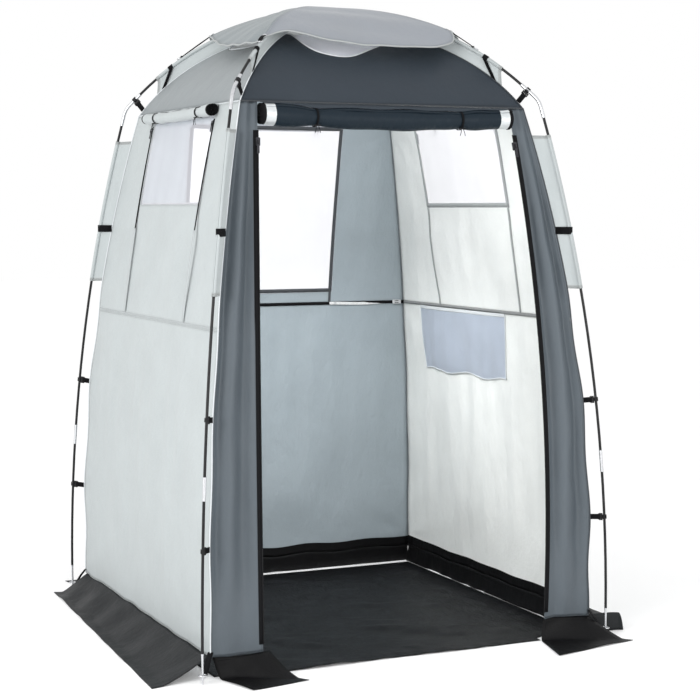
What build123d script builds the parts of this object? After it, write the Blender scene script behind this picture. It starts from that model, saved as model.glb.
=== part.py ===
from build123d import *
import os
from math import asin, cos, hypot, radians, sin, sqrt

# Privacy shower tent, in millimetres. The origin is on the ground at the middle of the cabin,
# +Z is up and the doorway faces -Y. Two shock-corded arches cross above the cabin and the
# fabric hangs inside them.

# ---------------------------------------------------------------- driving dimensions
# Arches. A point of an arch is (r, h): r along the tent's diagonal, h above the ground.
FOOT_HALF = 750.0  # half the side of the square that the four feet stand on
FOOT = (FOOT_HALF * sqrt(2), 0.0)
LEG_TOP = (815.0, 1838.0)  # where a leg ends inside its elbow
LEG_RADIUS = 6300.0  # the bow of a leg
ROOF_START = (742.0, 1927.0)  # where a roof pole leaves its elbow
LOW_APEX_H = 2194.5  # the arch that crosses below
HIGH_APEX_H = 2205.5  # the arch that crosses above
POLE_D = 9.5
POLE_BORE_D = 6.0
SHOCK_CORD_D = 3.0
CORD_START = 32.0  # from the leg's lower end up to the cord's knot
POLE_END_GAP = 0.4  # between the ends of two sections
ELBOW_D = 12.6
ELBOW_BORE_D = 9.9
ELBOW_RADIUS = 80.0
ELBOW_SOCKET = 28.0  # how far a pole goes into an elbow
FERRULE_D = 11.6
FERRULE_BORE_D = 9.8
FERRULE_HALF = 37.5
SLIM_FERRULE_R = 2.9  # inside the bore of the poles
SLIM_BORE_R = 2.0
PIN_LENGTH = 98.0  # bare foot pin below the pole
PIN_R = 3.9
PIN_TIP_R = 2.6
PIN_STEM_R = 2.75
PIN_STEM = 25.0  # how far the pin's stem goes up into the leg
PIN_POINT = 14.0  # length of the taper at the ground
PIN_COLLAR = 6.0
PIN_BURY = 2.0  # cut off level with the ground
LEG_JOINTS_H = (618.0, 1240.0)  # joints between the three sections of a leg
ROOF_JOINT_R = 400.0  # joint between the two sections of a roof pole
CLIP_HEIGHTS = (422.0, 834.0)  # clips on the bare part of a leg
ELBOW_HOOK = 30.0  # from the elbow's upper end to the hook
ELBOW_WEB_REACH = 52.0
LEG_SLEEVE_H = (1219.0, 1751.0)
ROOF_SLEEVE_R = (75.0, 672.0)
SLEEVE_BORE_R = 5.6
SLEEVE_R = 7.0
SLEEVE_SIDES = 16
SLEEVE_LAP = 1.0  # how deep a sleeve's flag is sewn into its tube

# Cabin. A wall bows outwards on one large circle, and the roof is an arched vault.
CLOTH = 1.5  # thickness of a fabric sheet
WALL_HALF_MAX = 710.0  # half width of the cabin where it is widest
WALL_WIDEST_H = 275.0
WALL_RADIUS = 6900.0
WALL_FOOT_H = 70.0  # bottom seam of a wall
WAIST_H = 1110.0  # seam between the lower and the upper wall panels
EAVE_H = 1845.0
ROOF_TOP_H = 2150.0
VENT_HALF = 360.0  # half side of the mesh vent below the fly cap
MITRE_GAP = 0.3  # between two panels that are sewn together at a corner
SEAM_GAP = 0.5  # between a skirt and the wall above it

# Doorway and windows
DOOR_HALF_MAX = 531.0
DOOR_WIDEST_H = 450.0
DOOR_EDGE_RADIUS = 15600.0
WINDOW_HALF = 315.0
WINDOW_TOP_H = 1812.0
SIDE_WINDOW_LOW_H = 1510.0
BACK_WINDOW_LOW_H = 1165.0
FILM = 0.8
DOOR_ROLL_R = 38.0
DOOR_ROLL_HALF = 465.0
DOOR_ROLL_H = 1797.0
WINDOW_ROLL_R = 21.0
WINDOW_ROLL_HALF = 350.0
WINDOW_ROLL_H = 1822.0
ZIP_TAPE = 1.2
ZIP_COIL = 1.6
ZIP_GAP = 0.2  # between a tape and the wall below it
ZIP_W = 14.0
ZIP_SEAM = 1.0  # how far a door tape reaches into the doorway
COIL_GAP = 0.4  # between the panel's edge and the coil
WINDOW_ZIP_W = 10.0
WINDOW_ZIP_OUT = 9.0  # from the window's side to the middle of its zip
COIL_W = 3.4
WINDOW_SEAM = 10.0  # how far a window's sheet overlaps the wall
WINDOW_SEAM_GAP = 0.4
WINDOW_CORNER_R = 18.0
VENT_SEAM_GAP = 1.5
VENT_RIM = 3.0
VENT_NET = 1.2
TIE_ROOM = 3.0  # between a window's roll and the wall
TIE_W = 8.0
TIE_T = 1.5
TIE_FIT = 0.4
TOGGLE_LENGTH = 26.0
TOGGLE_R = 3.0
TOGGLE_GAP = 0.3  # between a toggle and its tie
TOGGLE_ANGLE = 50.0  # below level, on the outer side of the roll
DOOR_TIE_AT = 270.0  # along the roll, each way from its middle
WINDOW_TIE_AT = 225.0
DOOR_ZIP_H = (95.0, 1750.0)
WINDOW_ZIP_H = (1118.0, 1796.0)
DOOR_SLIDER_H = 1712.0
WINDOW_SLIDER_H = 1780.0

SLIDER_GAP = 2.6  # from the wall's face to a slider's plate
PLATE_T = 1.8
BRIDGE_HALF_LENGTH = 8.0
BRIDGE_OPENING = 3.4
BRIDGE_OPENING_LENGTH = 9.0
BRIDGE_BAR = 1.6
BRIDGE_ROOT = 0.6  # how deep the bridge stands in the plate
BRIDGE_HALF_W = 1.5
BRIDGE_SLANT = 2.0
DOOR_PLATE = (28.0, 15.0, 3.0)  # length, width and corner radius
DOOR_PLATE_SHIFT = 0.5  # towards the doorway
WINDOW_PLATE = (22.0, 11.0, 2.5)
POST = (18.0, 3.2)  # joins the two plates of a door slider
POST_AT = 6.3
POST_LAP = 0.3
PULL_W = 9.0
PULL_T = 1.6
PULL_CORNER_R = 1.5
PULL_EYE = 10.2  # length of the opening around the bridge
PULL_EYE_AT = 4.4
PULL_FRAME = 1.6
PULL_HOLE_R = 1.6
PULL_HOLE_AT = 5.0
PULL_BAR_R = 1.1
PULL_BAR_GAP = 0.2
DOOR_PULL = 40.0
WINDOW_PULL = 30.0

# Ground
SKIRT_OUT = 925.0  # how far a skirt reaches from the middle of the tent
SKIRT_HALF = 690.0
SKIRT_FOLD = {"left": 880.0, "front": 880.0, "right": 735.0, "back": 735.0}  # reaches the ground
SKIRT_INNER = 1.2  # how far a skirt's inner face lies behind its outer one
FRONT_SKIRT_IN = 522.0
FLOOR_HALF = 698.0
FLOOR_BACK = 690.0
FLOOR_FRONT = 690.0
FLOOR_TONGUE_HALF = 512.0
FLOOR_TONGUE_FRONT = 720.0

# Webbing, rings and hooks. A distance "out" is measured from what the clip grips.
WEB_W = 20.0
WEB_T = 1.6
RING_R = 13.0  # middle of the wire
RING_WIRE_R = 2.0
RING_H = 28.0
JAW_T = 3.2
JAW_FIT = 0.25
JAW_MOUTH = (11.0, 7.5)
JAW_MOUTH_OUT = 3.0
JAW_MOUTH_ANGLE = 125.0
JAW_HALF_LENGTH = 7.0
LUG_OUT = 8.5
LUG = (13.0, 4.6)
LUG_MARGIN = 2.4  # beyond the webbing on each side
SLOT_OUT = 10.4
SLOT_LENGTH = 3.4
SLOT_PLAY = 0.4
LOOP_START_OUT = 9.4
LOOP_WIDE_OUT = 17.0
LOOP_FLAT_OUT = 20.0
LOOP_HALF = 3.7
DOUBLED_HALF = 1.2
LOOP_HOLE_OUT = 13.3
LOOP_HOLE = (5.4, 5.2)
WEB_END_GAP = 2.0  # from the webbing's end to the cabin's corner
RING_TAB_GAP = 0.6
RING_TAB_END = (3.0, 12.0)  # out from the corner and up from the bottom seam
CAP_TAB_GAP = 0.4
CAP_TAB_LENGTH = 42.0
CAP_RING_LIFT = 2.2
CAP_RING_WIRE_R = 1.5
SLEEVE_SEAM_GAP = 1.2  # from a leg sleeve's flag to the cabin's corner
RIDGE_GAP = 3.0  # from a roof sleeve's flag to the roof's ridge

# Things inside
POCKET_W = 690.0
POCKET_TALL = 250.0
POCKET_DEEP = 20.0
POCKET_GAP = 1.5  # between the pocket's middle and the wall
POCKET_CORNER_R = 25.0
POCKET_MIDDLE = (145.0, 975.0)  # y and height
STRAP_FROM_X = 316.0
STRAP_TO_X = 600.0
STRAP_TALL = 12.0
STRAP_FROM_WALL = 5.0
BUCKLE_LENGTH = 38.0
BUCKLE_T = 6.0
BUCKLE_MARGIN = 5.0
BUCKLE_CORNER_R = 3.0

# Fly cap
CAP_HALF = 430.0
CAP_CORNER_R = 490.0  # the cap's corners are cut round
CAP_TOP_H = 2220.0
CAP_EDGE_H = 2056.0  # at the middle of each side
CAP_HEM = 2.0
CAP_RING_WIRE_MIDDLE = 9.0
TIE_KNOT_R = 561.0  # outer end of a tie, just inside its ring
TIE_LIFT = 4.0  # of that end above the sleeve
TIE_CAP_GAP = 2.0
KNOT_R = 3.6
STRAP_TIE_W = 14.0
CAP_TAB_R = 612.0
CAP_RING_R = 577.0
TALL = 2400.0  # taller than the tent, for cutting blocks

CORNERS = {"front_left": 225.0, "front_right": 315.0, "back_right": 45.0, "back_left": 135.0}
APEX_OF = {
    "front_left": LOW_APEX_H,
    "back_right": LOW_APEX_H,
    "front_right": HIGH_APEX_H,
    "back_left": HIGH_APEX_H,
}
SIDES = {"right": 0.0, "back": 90.0, "left": 180.0, "front": 270.0}

os.makedirs("parts", exist_ok=True)


# ---------------------------------------------------------------- shared geometry
def save(piece, name):
    """Label a finished piece and write it to its own file."""
    piece.part.label = name
    export_step(piece.part, f"parts/{name}.step")


def heading(angle):
    """Unit vector on the ground that points out of the tent at this angle."""
    return Vector(cos(radians(angle)), sin(radians(angle)), 0)


def upright(angle):
    """Upright plane through the middle of the tent: local x is the heading, local y is up."""
    out = heading(angle)
    return Plane(origin=(0, 0, 0), x_dir=out, z_dir=(out.Y, -out.X, 0))


def ground(angle, height=0.0):
    """Level plane whose local x is the heading."""
    return Plane(origin=(0, 0, height), x_dir=heading(angle), z_dir=(0, 0, 1))


def facing(angle):
    """Upright plane through the middle, seen from outside: local y is up, z is the heading."""
    out = heading(angle)
    return Plane(origin=(0, 0, 0), x_dir=(-out.Y, out.X, 0), z_dir=out)


def to_world(angle, point):
    """World position of the point (r, h) of the upright plane at this angle."""
    return heading(angle) * point[0] + Vector(0, 0, point[1])


def circle_centre(start, end, radius):
    """Centre of the circle through two points, on the left of the way from start to end."""
    chord = hypot(end[0] - start[0], end[1] - start[1])
    rise = sqrt(radius**2 - chord**2 / 4)
    across = ((start[1] - end[1]) / chord, (end[0] - start[0]) / chord)
    middle = ((start[0] + end[0]) / 2, (start[1] + end[1]) / 2)
    return (middle[0] + rise * across[0], middle[1] + rise * across[1])


LEG_CENTRE = circle_centre(FOOT, LEG_TOP, LEG_RADIUS)


def leg_point(height, offset=0.0):
    """Point of a leg's centre line, or of a line this far outside it."""
    reach = LEG_RADIUS + offset
    return (LEG_CENTRE[0] + sqrt(reach**2 - (height - LEG_CENTRE[1]) ** 2), height)


def leg_direction(height):
    """Unit vector up along a leg, as (r, h)."""
    radial = (leg_point(height)[0] - LEG_CENTRE[0], height - LEG_CENTRE[1])
    return (-radial[1] / LEG_RADIUS, radial[0] / LEG_RADIUS)


def roof_radius(apex):
    """Radius of a roof pole's arc, level at the apex, that starts at the elbow."""
    rise = apex - ROOF_START[1]
    return (ROOF_START[0] ** 2 + rise**2) / (2 * rise)


def roof_point(reach, apex, offset=0.0):
    """Point of a roof pole's centre line, or of a line this far above it."""
    radius = roof_radius(apex)
    return (reach, apex - radius + sqrt((radius + offset) ** 2 - reach**2))


def roof_direction(reach, apex):
    """Unit vector out and down along a roof pole, as (r, h)."""
    turn = asin(reach / roof_radius(apex))
    return (cos(turn), -sin(turn))


def wall_point(height, offset=0.0):
    """Point (a, h) of a wall's section, or of a sheet this far outside it."""
    reach = sqrt((WALL_RADIUS + offset) ** 2 - (height - WALL_WIDEST_H) ** 2)
    return (WALL_HALF_MAX - WALL_RADIUS + reach, height)


def wall_half(height):
    """Half width of the cabin at this height."""
    return wall_point(height)[0]


EAVE_HALF = wall_half(EAVE_H)
VAULT_RISE = ROOF_TOP_H - EAVE_H
VAULT_RADIUS = (EAVE_HALF**2 + VAULT_RISE**2) / (2 * VAULT_RISE)
CAP_RISE = CAP_TOP_H - CAP_EDGE_H
CAP_RADIUS = (CAP_HALF**2 + CAP_RISE**2) / (2 * CAP_RISE)


def vault_point(half, offset=0.0, radius=VAULT_RADIUS, top=ROOF_TOP_H):
    """Point (a, h) of a vault's arc, moved square to the arc by the offset."""
    turn = asin(half / radius)
    return ((radius + offset) * sin(turn), top - radius + (radius + offset) * cos(turn))


def vault_height(half):
    """Height of the roof where it is this far from the middle."""
    return ROOF_TOP_H - VAULT_RADIUS + sqrt(VAULT_RADIUS**2 - half**2)


def door_half(height):
    """Half width of the doorway at this height."""
    reach = sqrt(DOOR_EDGE_RADIUS**2 - (height - DOOR_WIDEST_H) ** 2)
    return DOOR_HALF_MAX - DOOR_EDGE_RADIUS + reach


def arc_through(shape, start, end, **options):
    """Arc from one parameter to another of a curve given as a function."""
    middle = (start + end) / 2
    return ThreePointArc(shape(start, **options), shape(middle, **options), shape(end, **options))


def strip_face(shape, start, end, low, high):
    """Face between two offsets of a curve given as a function."""
    with BuildLine() as outline:
        outer = arc_through(shape, start, end, offset=high)
        inner = arc_through(shape, start, end, offset=low)
        Line(outer @ 0, inner @ 0)
        Line(outer @ 1, inner @ 1)
    make_face(outline.edges())


def tube_along(path, outer_r, bore_r=0.0):
    """Sweep a rod or a tube along the path of the part in hand."""
    wire = path.wire()
    with BuildSketch(Plane(origin=wire @ 0, z_dir=wire % 0)) as section:
        Circle(outer_r)
        if bore_r:
            Circle(bore_r, mode=Mode.SUBTRACT)
    sweep(sections=section.sketch, path=wire)


def cloth_tube_along(path):
    """Sweep a sleeve's tube, whose section is a polygon of many sides, along a path."""
    wire = path.wire()
    with BuildSketch(Plane(origin=wire @ 0, z_dir=wire % 0)) as section:
        RegularPolygon(SLEEVE_R, SLEEVE_SIDES)
        RegularPolygon(SLEEVE_BORE_R, SLEEVE_SIDES, mode=Mode.SUBTRACT)
    sweep(sections=section.sketch, path=wire)


def keep_between_corners(angle):
    """Trim the part in hand to the quarter of the tent that faces this way."""
    with BuildSketch(ground(angle)) as quarter:
        with BuildLine():
            Polyline((MITRE_GAP, 0), (TALL, TALL - MITRE_GAP), (TALL, MITRE_GAP - TALL), close=True)
        make_face()
    extrude(to_extrude=quarter.sketch, amount=TALL, mode=Mode.INTERSECT)


def wall_sheet(angle, low_h, high_h, inner, outer, half):
    """Curved sheet that follows a wall between two heights and two offsets."""
    with BuildSketch(upright(angle)) as section:
        strip_face(wall_point, low_h, high_h, inner, outer)
    extrude(to_extrude=section.sketch, amount=half, both=True)


def window_cut(angle, low_h, margin=0.0, mode=Mode.SUBTRACT):
    """Cut the window's rounded rectangle through a wall, or keep only what is inside it."""
    height = WINDOW_TOP_H - low_h + 2 * margin
    corner_r = WINDOW_CORNER_R + margin
    with BuildSketch(facing(angle)) as opening:
        with Locations((0, (WINDOW_TOP_H + low_h) / 2)):
            RectangleRounded(2 * (WINDOW_HALF + margin), height, corner_r)
    extrude(to_extrude=opening.sketch, amount=TALL, mode=mode)


# ---------------------------------------------------------------- arches
def leg_pole(angle):
    """Three sections of a leg, end to end."""
    stops = (PIN_LENGTH, *LEG_JOINTS_H, LEG_TOP[1])
    with BuildPart() as piece:
        for low, high in zip(stops, stops[1:]):
            with BuildLine(upright(angle)) as path:
                arc_through(leg_point, low + POLE_END_GAP / 2, high - POLE_END_GAP / 2)
            tube_along(path, POLE_D / 2, POLE_BORE_D / 2)
    return piece


def roof_pole(angle, apex):
    """Two sections of a roof pole, from its elbow to the top of the arch."""
    direction = roof_direction(ROOF_START[0], apex)
    socket = (ROOF_START[0] + ELBOW_SOCKET * direction[0], ROOF_START[1] + ELBOW_SOCKET * direction[1])
    with BuildPart() as piece:
        with BuildLine(upright(angle)) as outer_path:
            Line(socket, ROOF_START)
            arc_through(roof_point, ROOF_START[0], ROOF_JOINT_R + POLE_END_GAP / 2, apex=apex)
        tube_along(outer_path, POLE_D / 2, POLE_BORE_D / 2)
        with BuildLine(upright(angle)) as inner_path:
            arc_through(roof_point, ROOF_JOINT_R - POLE_END_GAP / 2, POLE_END_GAP / 2, apex=apex)
        tube_along(inner_path, POLE_D / 2, POLE_BORE_D / 2)
    return piece


def elbow_corner(apex):
    """Where the leg's and the roof pole's straight lines meet inside the elbow."""
    leg = leg_direction(LEG_TOP[1])
    roof = roof_direction(ROOF_START[0], apex)
    gap = (ROOF_START[0] - LEG_TOP[0], ROOF_START[1] - LEG_TOP[1])
    along_leg = (gap[0] * roof[1] - gap[1] * roof[0]) / (leg[0] * roof[1] - leg[1] * roof[0])
    return (LEG_TOP[0] + along_leg * leg[0], LEG_TOP[1] + along_leg * leg[1])


for corner, angle in CORNERS.items():
    save(leg_pole(angle), f"leg_pole_{corner}")
    save(roof_pole(angle, APEX_OF[corner]), f"roof_pole_{corner}")

with BuildPart() as pole_elbows:
    leg_up = leg_direction(LEG_TOP[1])
    elbow_low = (LEG_TOP[0] - ELBOW_SOCKET * leg_up[0], LEG_TOP[1] - ELBOW_SOCKET * leg_up[1])
    for corner, angle in CORNERS.items():
        with BuildLine(upright(angle)) as elbow_path:
            FilletPolyline(elbow_low, elbow_corner(APEX_OF[corner]), ROOF_START, radius=ELBOW_RADIUS)
        tube_along(elbow_path, ELBOW_D / 2, ELBOW_BORE_D / 2)
save(pole_elbows, "pole_elbows")


# A slim ferrule lies inside each joint, and a wide one also covers the joint of each bare leg.
with BuildPart() as pole_ferrules:
    for corner, angle in CORNERS.items():
        with BuildLine(upright(angle)) as ferrule_path:
            arc_through(leg_point, LEG_JOINTS_H[0] - FERRULE_HALF, LEG_JOINTS_H[0] + FERRULE_HALF)
        tube_along(ferrule_path, FERRULE_D / 2, FERRULE_BORE_D / 2)
        with BuildLine(upright(angle)) as slim_leg_path:
            arc_through(leg_point, LEG_JOINTS_H[1] - FERRULE_HALF, LEG_JOINTS_H[1] + FERRULE_HALF)
        tube_along(slim_leg_path, SLIM_FERRULE_R, SLIM_BORE_R)
        with BuildLine(upright(angle)) as slim_roof_path:
            arc_through(
                roof_point, ROOF_JOINT_R + FERRULE_HALF, ROOF_JOINT_R - FERRULE_HALF, apex=APEX_OF[corner]
            )
        tube_along(slim_roof_path, SLIM_FERRULE_R, SLIM_BORE_R)
save(pole_ferrules, "pole_ferrules")

# Each foot pin slides into the leg's bore and tapers to a flat end on the ground.
with BuildPart() as foot_pins:
    for corner, angle in CORNERS.items():
        pin_plane = Plane(
            origin=to_world(angle, leg_point(0)),
            x_dir=upright(angle).z_dir,
            z_dir=to_world(angle, leg_direction(PIN_LENGTH / 2)),
        )
        with BuildSketch(Plane(origin=pin_plane.origin, x_dir=pin_plane.x_dir, z_dir=-pin_plane.y_dir)):
            with BuildLine():
                Polyline(
                    (0, -PIN_BURY),
                    (PIN_TIP_R, -PIN_BURY),
                    (PIN_R, PIN_POINT),
                    (PIN_R, PIN_LENGTH - PIN_COLLAR),
                    (POLE_D / 2, PIN_LENGTH - PIN_COLLAR),
                    (POLE_D / 2, PIN_LENGTH - POLE_END_GAP),
                    (PIN_STEM_R, PIN_LENGTH - POLE_END_GAP),
                    (PIN_STEM_R, PIN_LENGTH + PIN_STEM),
                    (0, PIN_LENGTH + PIN_STEM),
                    close=True,
                )
            make_face()
        revolve(axis=Axis(pin_plane.origin, pin_plane.z_dir))
    split(bisect_by=Plane.XY, keep=Keep.TOP)
save(foot_pins, "foot_pins")

# One elastic cord runs through each arch, from foot to foot.
with BuildPart() as shock_cords:
    for corner in ("front_left", "front_right"):
        apex = APEX_OF[corner]
        with BuildLine(upright(CORNERS[corner])) as cord_path:
            for side in (1, -1):
                foot_end = leg_point(PIN_LENGTH + CORD_START)
                leg_middle = leg_point(LEG_TOP[1] / 2)
                bend = elbow_corner(apex)
                ThreePointArc(
                    (side * foot_end[0], foot_end[1]),
                    (side * leg_middle[0], leg_middle[1]),
                    (side * LEG_TOP[0], LEG_TOP[1]),
                )
                FilletPolyline(
                    (side * LEG_TOP[0], LEG_TOP[1]),
                    (side * bend[0], bend[1]),
                    (side * ROOF_START[0], ROOF_START[1]),
                    radius=ELBOW_RADIUS,
                )
            ThreePointArc(ROOF_START, (0, apex), (-ROOF_START[0], ROOF_START[1]))
        tube_along(cord_path, SHOCK_CORD_D / 2)
save(shock_cords, "shock_cords")


# ---------------------------------------------------------------- clips, webbing and rings
def square_to(angle, point, direction):
    """Plane across a pole: local x points to the cabin, local z is up the pole."""
    along = to_world(angle, direction).normalized()
    side = Vector(-heading(angle).Y, heading(angle).X, 0)
    return Plane(origin=to_world(angle, point), x_dir=along.cross(side), z_dir=along)


def clip_places(angle, apex):
    """Each clip's plane, the radius of what it grips and the reach of its webbing."""
    places = []
    for height in CLIP_HEIGHTS:
        reach = leg_point(height)[0] - wall_half(height) * sqrt(2) - WEB_END_GAP
        places.append((square_to(angle, leg_point(height), leg_direction(height)), POLE_D / 2, reach))
    down = roof_direction(ROOF_START[0], apex)
    hook = (ROOF_START[0] + ELBOW_HOOK * down[0], ROOF_START[1] + ELBOW_HOOK * down[1])
    places.append((square_to(angle, hook, (-down[0], -down[1])), ELBOW_D / 2, ELBOW_WEB_REACH))
    return places


def clip(plane, grip_r):
    """Open hook around a pole, with a slotted lug for its webbing."""
    with BuildSketch(plane) as jaw:
        Circle(grip_r + JAW_T)
        Circle(grip_r + JAW_FIT, mode=Mode.SUBTRACT)
        with PolarLocations(grip_r + JAW_MOUTH_OUT, 1, start_angle=JAW_MOUTH_ANGLE):
            Rectangle(*JAW_MOUTH, mode=Mode.SUBTRACT)
    extrude(to_extrude=jaw.sketch, amount=JAW_HALF_LENGTH, both=True)
    with BuildSketch(plane) as lug:
        with Locations((grip_r + LUG_OUT, 0)):
            Rectangle(*LUG)
    extrude(to_extrude=lug.sketch, amount=WEB_W / 2 + LUG_MARGIN, both=True)
    with BuildSketch(plane) as slot:
        with Locations((grip_r + SLOT_OUT, 0)):
            Rectangle(SLOT_LENGTH, LUG[1] + 1)
    extrude(to_extrude=slot.sketch, amount=WEB_W / 2 + SLOT_PLAY, both=True, mode=Mode.SUBTRACT)


def clip_web(plane, grip_r, reach):
    """Webbing that passes through a clip's slot and doubles back to the cabin's corner."""
    start = grip_r + LOOP_START_OUT
    wide = grip_r + LOOP_WIDE_OUT
    flat = grip_r + LOOP_FLAT_OUT
    with BuildSketch(plane) as loop:
        with BuildLine():
            Polyline(
                (start, -LOOP_HALF),
                (wide, -LOOP_HALF),
                (flat, -DOUBLED_HALF),
                (reach, -DOUBLED_HALF),
                (reach, DOUBLED_HALF),
                (flat, DOUBLED_HALF),
                (wide, LOOP_HALF),
                (start, LOOP_HALF),
                close=True,
            )
        make_face()
        with Locations((grip_r + LOOP_HOLE_OUT, 0)):
            Rectangle(*LOOP_HOLE, mode=Mode.SUBTRACT)
    extrude(to_extrude=loop.sketch, amount=WEB_W / 2, both=True)


with BuildPart() as pole_clips:
    for corner, angle in CORNERS.items():
        for clip_plane, grip_radius, _ in clip_places(angle, APEX_OF[corner]):
            clip(clip_plane, grip_radius)
save(pole_clips, "pole_clips")

with BuildPart() as clip_webbing:
    for corner, angle in CORNERS.items():
        for clip_plane, grip_radius, web_reach in clip_places(angle, APEX_OF[corner]):
            clip_web(clip_plane, grip_radius, web_reach)
        # The tab of the foot ring, from the ring up to the cabin's bottom corner.
        tab_low = (leg_point(RING_H)[0] - RING_R - RING_WIRE_R - RING_TAB_GAP, RING_H)
        corner_foot = wall_half(WALL_FOOT_H) * sqrt(2)
        tab_high = (corner_foot + RING_TAB_END[0], WALL_FOOT_H + RING_TAB_END[1])
        tab_span = (tab_high[0] - tab_low[0], tab_high[1] - tab_low[1])
        tab_middle = (tab_low[0] + tab_span[0] / 2, tab_low[1] + tab_span[1] / 2)
        with Locations(square_to(angle, tab_middle, tab_span)):
            Box(WEB_T, WEB_W, hypot(*tab_span))
        # The tab of the fly cap's tie, sewn to the top of the roof sleeve.
        tab_offset = SLEEVE_R + CAP_TAB_GAP + WEB_T / 2
        tab_place = roof_point(CAP_TAB_R, APEX_OF[corner], offset=tab_offset)
        tab_plane = square_to(angle, tab_place, roof_direction(CAP_TAB_R, APEX_OF[corner]))
        with Locations(tab_plane):
            Box(WEB_T, WEB_W, CAP_TAB_LENGTH)
save(clip_webbing, "clip_webbing")

with BuildPart() as steel_rings:
    for corner, angle in CORNERS.items():
        with Locations(Plane(origin=to_world(angle, leg_point(RING_H)))):
            Torus(RING_R, RING_WIRE_R)
        ring_place = roof_point(CAP_RING_R, APEX_OF[corner], offset=SLEEVE_R + CAP_RING_LIFT)
        ring_plane = square_to(angle, ring_place, roof_direction(CAP_RING_R, APEX_OF[corner]))
        with Locations(Plane(origin=ring_plane.origin, z_dir=ring_plane.x_dir)):
            Torus(CAP_RING_WIRE_MIDDLE, CAP_RING_WIRE_R)
save(steel_rings, "steel_rings")


# ---------------------------------------------------------------- sleeves
def fin(angle, pole_side, cabin_side):
    """Flat cloth in the diagonal plane, between two curves given by three points each."""
    with BuildSketch(upright(angle)) as web:
        with BuildLine() as outline:
            outer = ThreePointArc(*pole_side)
            inner = ThreePointArc(*cabin_side)
            Line(outer @ 0, inner @ 0)
            Line(outer @ 1, inner @ 1)
        make_face(outline.edges())
    extrude(to_extrude=web.sketch, amount=CLOTH / 2, both=True)


with BuildPart() as leg_sleeves:
    for corner, angle in CORNERS.items():
        sleeve_low, sleeve_high = LEG_SLEEVE_H
        sleeve_stops = (sleeve_low, (sleeve_low + sleeve_high) / 2, sleeve_high)
        with BuildLine(upright(angle)) as sleeve_path:
            arc_through(leg_point, sleeve_low, sleeve_high)
        cloth_tube_along(sleeve_path)
        fin(
            angle,
            [leg_point(stop, offset=SLEEVE_LAP - SLEEVE_R) for stop in sleeve_stops],
            [(wall_half(stop) * sqrt(2) + SLEEVE_SEAM_GAP, stop) for stop in sleeve_stops],
        )
save(leg_sleeves, "leg_sleeves")

with BuildPart() as roof_sleeves:
    for corner, angle in CORNERS.items():
        apex = APEX_OF[corner]
        reach_in, reach_out = ROOF_SLEEVE_R
        reach_stops = (reach_in, (reach_in + reach_out) / 2, reach_out)
        with BuildLine(upright(angle)) as roof_sleeve_path:
            arc_through(roof_point, reach_in, reach_out, apex=apex)
        cloth_tube_along(roof_sleeve_path)
        sewn = [roof_point(stop, apex, offset=SLEEVE_LAP - SLEEVE_R) for stop in reach_stops]
        ridge = [(stop, vault_height(stop / sqrt(2)) + RIDGE_GAP) for stop in reach_stops]
        fin(angle, sewn, ridge)
save(roof_sleeves, "roof_sleeves")


# ---------------------------------------------------------------- walls
def door_band(inner, outer, side, mode):
    """Keep or cut a band beside the doorway, between two distances from its edge."""
    stops = (0.0, EAVE_H / 2, EAVE_H)
    with BuildSketch(facing(SIDES["front"])) as band:
        with BuildLine() as outline:
            near = ThreePointArc(*[(side * (door_half(stop) + inner), stop) for stop in stops])
            far = ThreePointArc(*[(side * (door_half(stop) + outer), stop) for stop in stops])
            Line(near @ 0, far @ 0)
            Line(near @ 1, far @ 1)
        make_face(outline.edges())
    extrude(to_extrude=band.sketch, amount=TALL, mode=mode)


def upright_band(angle, across, width):
    """Keep only an upright band of the part in hand."""
    with BuildSketch(facing(angle)) as band:
        with Locations((across, TALL / 2)):
            Rectangle(width, TALL)
    extrude(to_extrude=band.sketch, amount=TALL, mode=Mode.INTERSECT)


def front_panel(side):
    """Fixed wall panel beside the doorway."""
    with BuildPart() as piece:
        wall_sheet(SIDES["front"], WALL_FOOT_H, EAVE_H - 1, -CLOTH, 0, WALL_HALF_MAX)
        keep_between_corners(SIDES["front"])
        door_band(0, WALL_HALF_MAX, side, Mode.INTERSECT)
    return piece


def lower_wall(angle):
    """Panel from the bottom seam to the waist seam."""
    with BuildPart() as piece:
        wall_sheet(angle, WALL_FOOT_H, WAIST_H - MITRE_GAP, -CLOTH, 0, WALL_HALF_MAX)
        keep_between_corners(angle)
    return piece


def upper_wall(angle, window_low):
    """Panel from the waist seam to the eave, with its window opening."""
    with BuildPart() as piece:
        wall_sheet(angle, WAIST_H, EAVE_H - 1, -CLOTH, 0, WALL_HALF_MAX)
        keep_between_corners(angle)
        window_cut(angle, window_low)
    return piece


def roof_panel(angle):
    """Vaulted panel from an eave up to the mesh vent."""
    with BuildPart() as piece:
        with BuildSketch(upright(angle)) as section:
            strip_face(vault_point, EAVE_HALF, VENT_HALF, -CLOTH, 0)
        extrude(to_extrude=section.sketch, amount=WALL_HALF_MAX, both=True)
        keep_between_corners(angle)
    return piece


WINDOW_LOW = {"left": SIDE_WINDOW_LOW_H, "right": SIDE_WINDOW_LOW_H, "back": BACK_WINDOW_LOW_H}

save(front_panel(-1), "front_panel_left")
save(front_panel(1), "front_panel_right")
for side_name, window_low in WINDOW_LOW.items():
    save(lower_wall(SIDES[side_name]), f"{side_name}_wall_lower")
    save(upper_wall(SIDES[side_name], window_low), f"{side_name}_wall_upper")
for side_name, angle in SIDES.items():
    save(roof_panel(angle), f"roof_{side_name}")


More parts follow.
